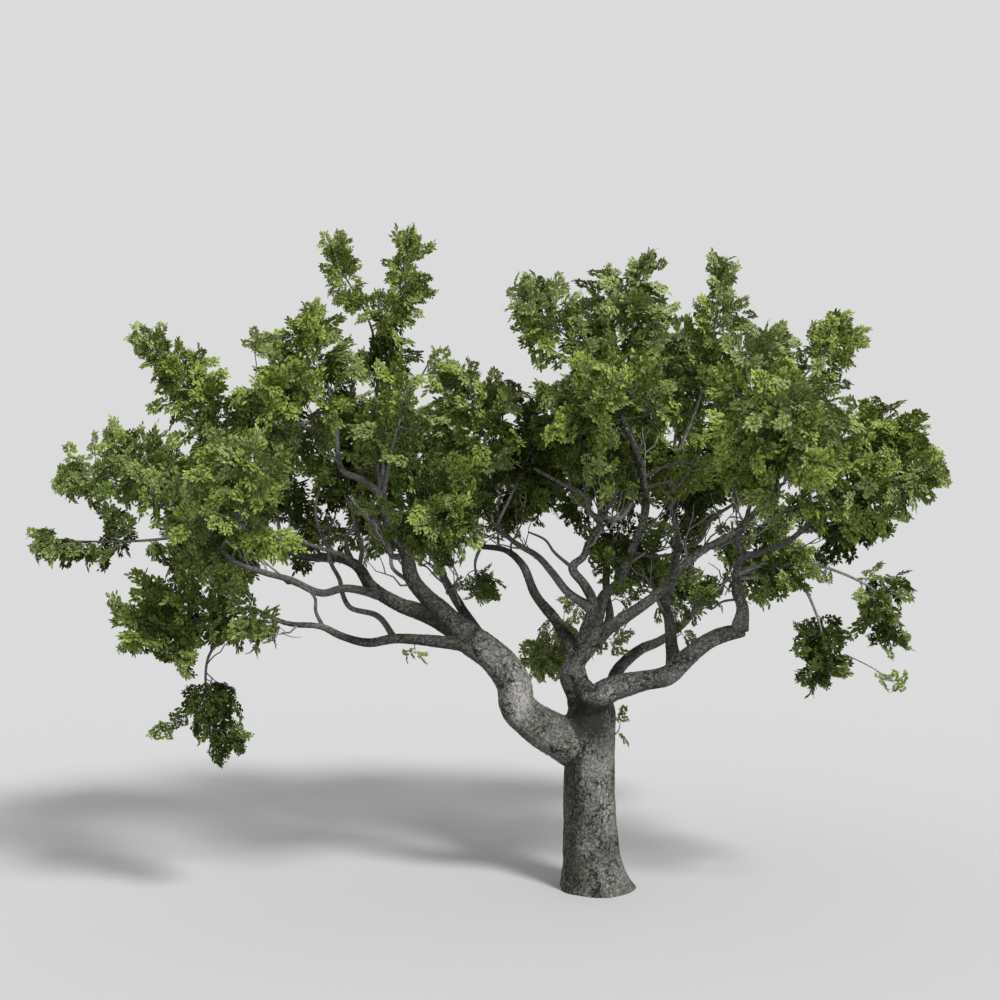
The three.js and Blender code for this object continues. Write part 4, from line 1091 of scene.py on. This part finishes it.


# Six greens, dealt out by spray, that paint shade and light: painted shade deep inside and underneath,
# painted light (sunny) at the top and the outside
leafTints = {
    "deep": {"share": 0.12, "dark": (0.013, 0.024, 0.0035), "light": (0.078, 0.113, 0.020)},
    "shade": {"share": 0.16, "dark": (0.024, 0.043, 0.006), "light": (0.153, 0.208, 0.042)},
    "dull": {"share": 0.18, "dark": (0.033, 0.054, 0.010), "light": (0.288, 0.366, 0.112)},
    "middle": {"share": 0.19, "dark": (0.040, 0.066, 0.009), "light": (0.340, 0.438, 0.090)},
    "bright": {"share": 0.19, "dark": (0.062, 0.096, 0.015), "light": (0.358, 0.442, 0.107)},
    "sunny": {"share": 0.16, "dark": (0.088, 0.124, 0.030), "light": (0.368, 0.435, 0.162)},
}
tintDeal = {
    "centre": (-1.2, 0.3, 4.6), "reach": (5.6, 3.2, 3.7),
    "lowest": 2.0, "rise": 6.2,
    "byCrown": 0.44, "byRim": 0.3, "byHeight": 0.36, "byLuck": 0.2,
    # Masses that the photograph shows lighter or darker than their place would make them
    "sunlit": {
        "low_back": 0.5, "back_hanging": 0.2, "low_hang": -0.12, "low_left": 0.02, "far_left": -0.12,
        "left_shoulder": -0.04, "crest": -0.08, "spire_left": -0.05, "spire_right": -0.04, "spire_side": 0.18,
        "inner": 0.12, "back_mid_left": 0.05, "middle_top": 0.25, "middle_back": 0.04, "overhang": 0.08,
        "top_centre": 0.14, "top_back": 0.14, "top_right": 0.05, "centre_front": -0.08, "right_top": -0.06,
        "right_crown": 0.04, "right_far": -0.05, "right_low": -0.1, "under_right": -0.06,
        "hanging_right": -0.1, "hanging_far_right": -0.06,
    },
}


def dealTints():
    deal = tintDeal
    middles = np.stack([spray["middle"] for spray in sprays])
    luck = np.array([spray["luck"] for spray in sprays])
    crown = np.linalg.norm((middles - deal["centre"]) / np.array(deal["reach"]), axis=1)
    outward = filled(middles)
    rim = np.minimum(outward.min(1), 1)
    height = (middles[:, 2] - deal["lowest"]) / deal["rise"]
    sunlit = np.array([deal["sunlit"].get(mass["name"], 0) for mass in masses])[outward.argmin(1)]
    # Painted shade for sprays deep in the crown and low down, painted light for those high up and at the rim,
    # with more of either for the masses listed in sunlit
    value = (deal["byCrown"] * crown + deal["byRim"] * rim + deal["byHeight"] * height
        + deal["byLuck"] * luck + sunlit)
    rank = (value.argsort().argsort() + 0.5) / len(value)
    steps = np.cumsum([tint["share"] for tint in leafTints.values()])
    return np.searchsorted(steps[:-1], rank)


# Materials
def newMaterial(name, roughness, specular):
    material = bpy.data.materials.new(name)
    material.use_nodes = True
    shader = material.node_tree.nodes["Principled BSDF"]
    shader.inputs["Roughness"].default_value = roughness
    shader.inputs["Specular IOR Level"].default_value = specular
    return material, shader


# A node, with a constant or a link for each socket that is named or numbered
def addNode(tree, kind, sockets=None, **settings):
    node = tree.nodes.new(kind)
    for setting, value in settings.items():
        setattr(node, setting, value)
    for socket, value in (sockets or {}).items():
        if isinstance(value, bpy.types.NodeSocket):
            tree.links.new(value, node.inputs[socket])
        else:
            node.inputs[socket].default_value = value
    return node


def fromAttribute(tree, name, output="Fac"):
    return addNode(tree, "ShaderNodeAttribute", attribute_name=name).outputs[output]


# Sockets 6 and 7 of a mix, and 2 of what it gives, are the colours
def mixColours(tree, share, *colours):
    first, second = [(*colour, 1) if isinstance(colour, tuple) else colour for colour in colours]
    mix = addNode(tree, "ShaderNodeMix", {0: share, 6: first, 7: second}, data_type="RGBA", clamp_factor=True)
    return mix.outputs[2]


def scaled(tree, value, fromLow, fromHigh, toLow, toHigh):
    return addNode(tree, "ShaderNodeMapRange", {"Value": value, "From Min": fromLow, "From Max": fromHigh,
        "To Min": toLow, "To Max": toHigh}, clamp=True).outputs["Result"]


def summed(tree, *parts):
    total = 0
    for socket, weight in parts:
        total = addNode(tree, "ShaderNodeMath", {0: socket, 1: weight, 2: total},
            operation="MULTIPLY_ADD").outputs[0]
    return total


barkLook = {
    "pale": (0.44, 0.43, 0.405),
    "middle": (0.150, 0.146, 0.132),
    "dark": (0.030, 0.029, 0.025),
    "crack": (0.008, 0.0075, 0.0065),
    "moss": (0.105, 0.120, 0.072),
    "grainScale": 30,
    "fleckScale": 80,
    "mossScale": 1.7,
    "crazeScale": 26,
    "crazeWidth": 0.12,
    "crazeCrook": (0.06, -0.05, 0.07),
    # How much each part lightens the bark, and how much it stands out
    "grainLight": 0.34, "fleckLight": 0.4, "crazeLight": -0.3, "crackLight": -0.7,
    "fleckHeight": 0.5, "crazeHeight": -0.5,
    "roughness": 0.93,
    "specular": 0.25,
    "bump": 0.6,
    "bumpDepth": 0.014,
}


def barkMaterial():
    look = barkLook
    material, shader = newMaterial("oak_bark", look["roughness"], look["specular"])
    tree = material.node_tree
    space = fromAttribute(tree, "barkSpace", "Vector")
    crack, tone = fromAttribute(tree, "crack"), fromAttribute(tree, "tone")
    grain, fleck, moss = [addNode(tree, "ShaderNodeTexNoise", {"Scale": look[kind + "Scale"],
        "Detail": detail, "Roughness": 0.65, "Vector": space}).outputs["Fac"]
        for kind, detail in (("grain", 4), ("fleck", 2), ("moss", 3))]
    crooked = addNode(tree, "ShaderNodeVectorMath", {0: grain, 1: look["crazeCrook"], 2: space},
        operation="MULTIPLY_ADD").outputs["Vector"]
    craze = addNode(tree, "ShaderNodeTexVoronoi", {"Scale": look["crazeScale"], "Vector": crooked},
        feature="DISTANCE_TO_EDGE").outputs["Distance"]
    crazing = scaled(tree, craze, 0, look["crazeWidth"], 1, 0)
    grainShare, fleckShare = [scaled(tree, texture, 0.36, 0.64, -0.5, 0.5) for texture in (grain, fleck)]
    light = summed(tree, (tone, 1), (grainShare, look["grainLight"]), (fleckShare, look["fleckLight"]),
        (crazing, look["crazeLight"]), (crack, look["crackLight"]))
    lowTone = mixColours(tree, scaled(tree, light, -0.1, 0.4, 0, 1), look["dark"], look["middle"])
    plain = mixColours(tree, scaled(tree, light, 0.4, 1.0, 0, 1), lowTone, look["pale"])
    mossy = mixColours(tree, scaled(tree, moss, 0.52, 0.7, 0, 0.3), plain, look["moss"])
    cracked = mixColours(tree, scaled(tree, crack, 0.35, 0.95, 0, 0.85), mossy, look["crack"])
    tree.links.new(cracked, shader.inputs["Base Color"])
    height = summed(tree, (grainShare, 1), (fleckShare, look["fleckHeight"]), (crazing, look["crazeHeight"]))
    bump = addNode(tree, "ShaderNodeBump",
        {"Strength": look["bump"], "Distance": look["bumpDepth"], "Height": height})
    tree.links.new(bump.outputs["Normal"], shader.inputs["Normal"])
    return material


leafFinish = {"roughness": 0.7, "specular": 0.12, "mottleScale": 42, "mottle": 0.75}


def leafMaterial(tint):
    look = leafFinish
    material, shader = newMaterial("oak_leaf_" + tint, look["roughness"], look["specular"])
    tree = material.node_tree
    tone = fromAttribute(tree, "tone")
    place = addNode(tree, "ShaderNodeTexCoord").outputs["Object"]
    mottle = addNode(tree, "ShaderNodeTexNoise", {"Scale": look["mottleScale"], "Detail": 1, "Vector": place})
    mottled = scaled(tree, mottle.outputs["Fac"], 0.3, 0.7, -0.5, 0.5)
    share = summed(tree, (tone, 1), (mottled, look["mottle"]))
    colour = mixColours(tree, share, leafTints[tint]["dark"], leafTints[tint]["light"])
    tree.links.new(colour, shader.inputs["Base Color"])
    return material


def smoothShade(mesh):
    mesh.polygons.foreach_set("use_smooth", np.ones(len(mesh.polygons), bool))


def finishPiece(piece, material, nodes):
    piece.data.materials.clear()
    piece.data.materials.append(material)
    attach(piece, "root")
    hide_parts(*nodes)
    triangles = sum(len(polygon.vertices) - 2 for polygon in piece.data.polygons)
    print(piece.name, triangles, "triangles")


def makePiece(name, gathering):
    values = joined(gathering)
    corners, triangles = values.pop("corners"), values.pop("triangles")
    mesh = bpy.data.meshes.new(name)
    mesh.vertices.add(len(corners))
    mesh.vertices.foreach_set("co", corners.astype(np.float32).ravel())
    mesh.loops.add(triangles.size)
    mesh.loops.foreach_set("vertex_index", triangles.astype(np.int32).ravel())
    mesh.polygons.add(len(triangles))
    mesh.polygons.foreach_set("loop_start", np.arange(0, triangles.size, 3, dtype=np.int32))
    mesh.update(calc_edges=True)
    addValues(mesh, **values)
    piece = bpy.data.objects.new(name, mesh)
    scene.collection.objects.link(piece)
    return piece


# Slender wood has no cracks of its own
def makeSlenderWood(name, gathering, nodes):
    piece = makePiece(name, gathering)
    addValues(piece.data, crack=np.zeros(gathering["count"]))
    smoothShade(piece.data)
    finishPiece(piece, bark, nodes)


# Trunk and boughs
woodPieces = {
    "trunk_and_great_boughs": {"voxel": 0.0155,
        "limbs": ["trunk", "left_bough", "centre_stem", "right_bough"]},
    "side_limbs": {"voxel": 0.02, "limbs": ["left_leader", "mid_left_limb", "low_left_limb", "left_back_limb",
        "tall_limb", "knee_limb", "long_right_limb", "low_back_left_limb", "right_upright", "back_right_stem",
        "back_low_limb"]},
}
bark = barkMaterial()
for pieceName, spec in woodPieces.items():
    withTrunk = "trunk" in spec["limbs"]
    parts = [raiseTrunk() if name == "trunk" else drawBough(name) for name in spec["limbs"]]
    if withTrunk:
        parts.append(drawFold())
    wood = fuseWood(parts, pieceName, spec["voxel"])
    dressBark(wood, spec["limbs"])
    if withTrunk:
        makeActive(wood)
        bpy.ops.object.mode_set(mode="EDIT")
        bpy.ops.mesh.select_all(action="SELECT")
        bpy.ops.mesh.bisect(plane_co=(0, 0, 0), plane_no=(0, 0, 1), clear_inner=True, use_fill=True)
        bpy.ops.object.mode_set(mode="OBJECT")
    smoothShade(wood.data)
    finishPiece(wood, bark, spec["limbs"])

slender = {}
thickLimbs = [name for piece in woodPieces.values() for name in piece["limbs"]]
slenderLimbs = [name for name in limbTable if name not in thickLimbs]
for name in slenderLimbs:
    shares = evenShares(routes[name], 0.03, 2)
    addTube(slender, placeAt(routes[name], shares), limbRadii(name, shares), 12)
for parent, (footGirth, tipGirth), line in smallLimbs.values():
    parentLine = routes[parent]["line"]
    nearest = np.linalg.norm(parentLine - np.array(line[0]), axis=1).argmin()
    route = smoothRoute([parentLine[max(nearest - 3, 0)], *line])
    shares = evenShares(route, 0.045, 6)
    addTube(slender, placeAt(route, shares), (footGirth + (tipGirth - footGirth) * shares) / 2, 8)
makeSlenderWood("slender_limbs", slender, slenderLimbs)

# Foliage
foliageNodes = [mass["name"] + "_foliage" for mass in masses]
for index, mass in enumerate(masses):
    growMass(mass, index)
growBranchlets()
growReaches()
growTufts()
print(len(sprays), "sprays")
shapes = [drawSpray(seed) for seed in sprayLook["seeds"]]
tintOf = dealTints()
for tintIndex, tint in enumerate(leafTints):
    leaves = {}
    for number, shape in enumerate(shapes):
        group = [sprays[i] for i in range(number, len(sprays), len(shapes)) if tintOf[i] == tintIndex]
        layShape(leaves, shape["leaves"], group)
    finishPiece(makePiece("leaves_" + tint, leaves), leafMaterial(tint), foliageNodes)
for number, shape in enumerate(shapes):
    layShape(twigs, shape["stalk"], sprays[number::len(shapes)])
makeSlenderWood("stems_and_twigs", twigs, foliageNodes)
print("crown grown")

# A plain pale floor that runs out to a pale sky, and a soft high sun
studio = {
    "floorSize": 1600,
    "floorRoughness": 0.9,
    "floorSpecular": 0.1,
    "sky": 0.71,  # the floor is made as bright as this
    "sunFrom": (0.6, -0.75, 0.95),
    "sunStrength": 3.5,
    "sunAngle": 14,  # across, so that shadows are soft
}
sky, sunStrength = studio["sky"], studio["sunStrength"]
deselectAll()
bpy.ops.mesh.primitive_plane_add(size=studio["floorSize"], location=(0, 0, 0))
floor = bpy.context.object
floor.name = "floor"
floorMaterial, floorShader = newMaterial("pale_floor", studio["floorRoughness"], studio["floorSpecular"])
floorShade = sky / (sunStrength * unit(studio["sunFrom"])[2] / math.pi + sky)
floorShader.inputs["Base Color"].default_value = (floorShade, floorShade, floorShade, 1)
floor.data.materials.append(floorMaterial)
floor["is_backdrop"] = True
bpy.ops.object.light_add(type="SUN", location=(4, -6, 12))
sun = bpy.context.object
sun.rotation_euler = (-Vector(studio["sunFrom"])).to_track_quat("-Z", "Y").to_euler()
sun.data.energy = sunStrength
sun.data.angle = math.radians(studio["sunAngle"])
room = bpy.data.worlds.new("pale_room")
room.use_nodes = True
room.node_tree.nodes["Background"].inputs["Color"].default_value = (sky, sky, sky, 1)
scene.world = room
scene.view_settings.view_transform = "Standard"
print("studio lit")

# The finished model's box
lowCorner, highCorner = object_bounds()
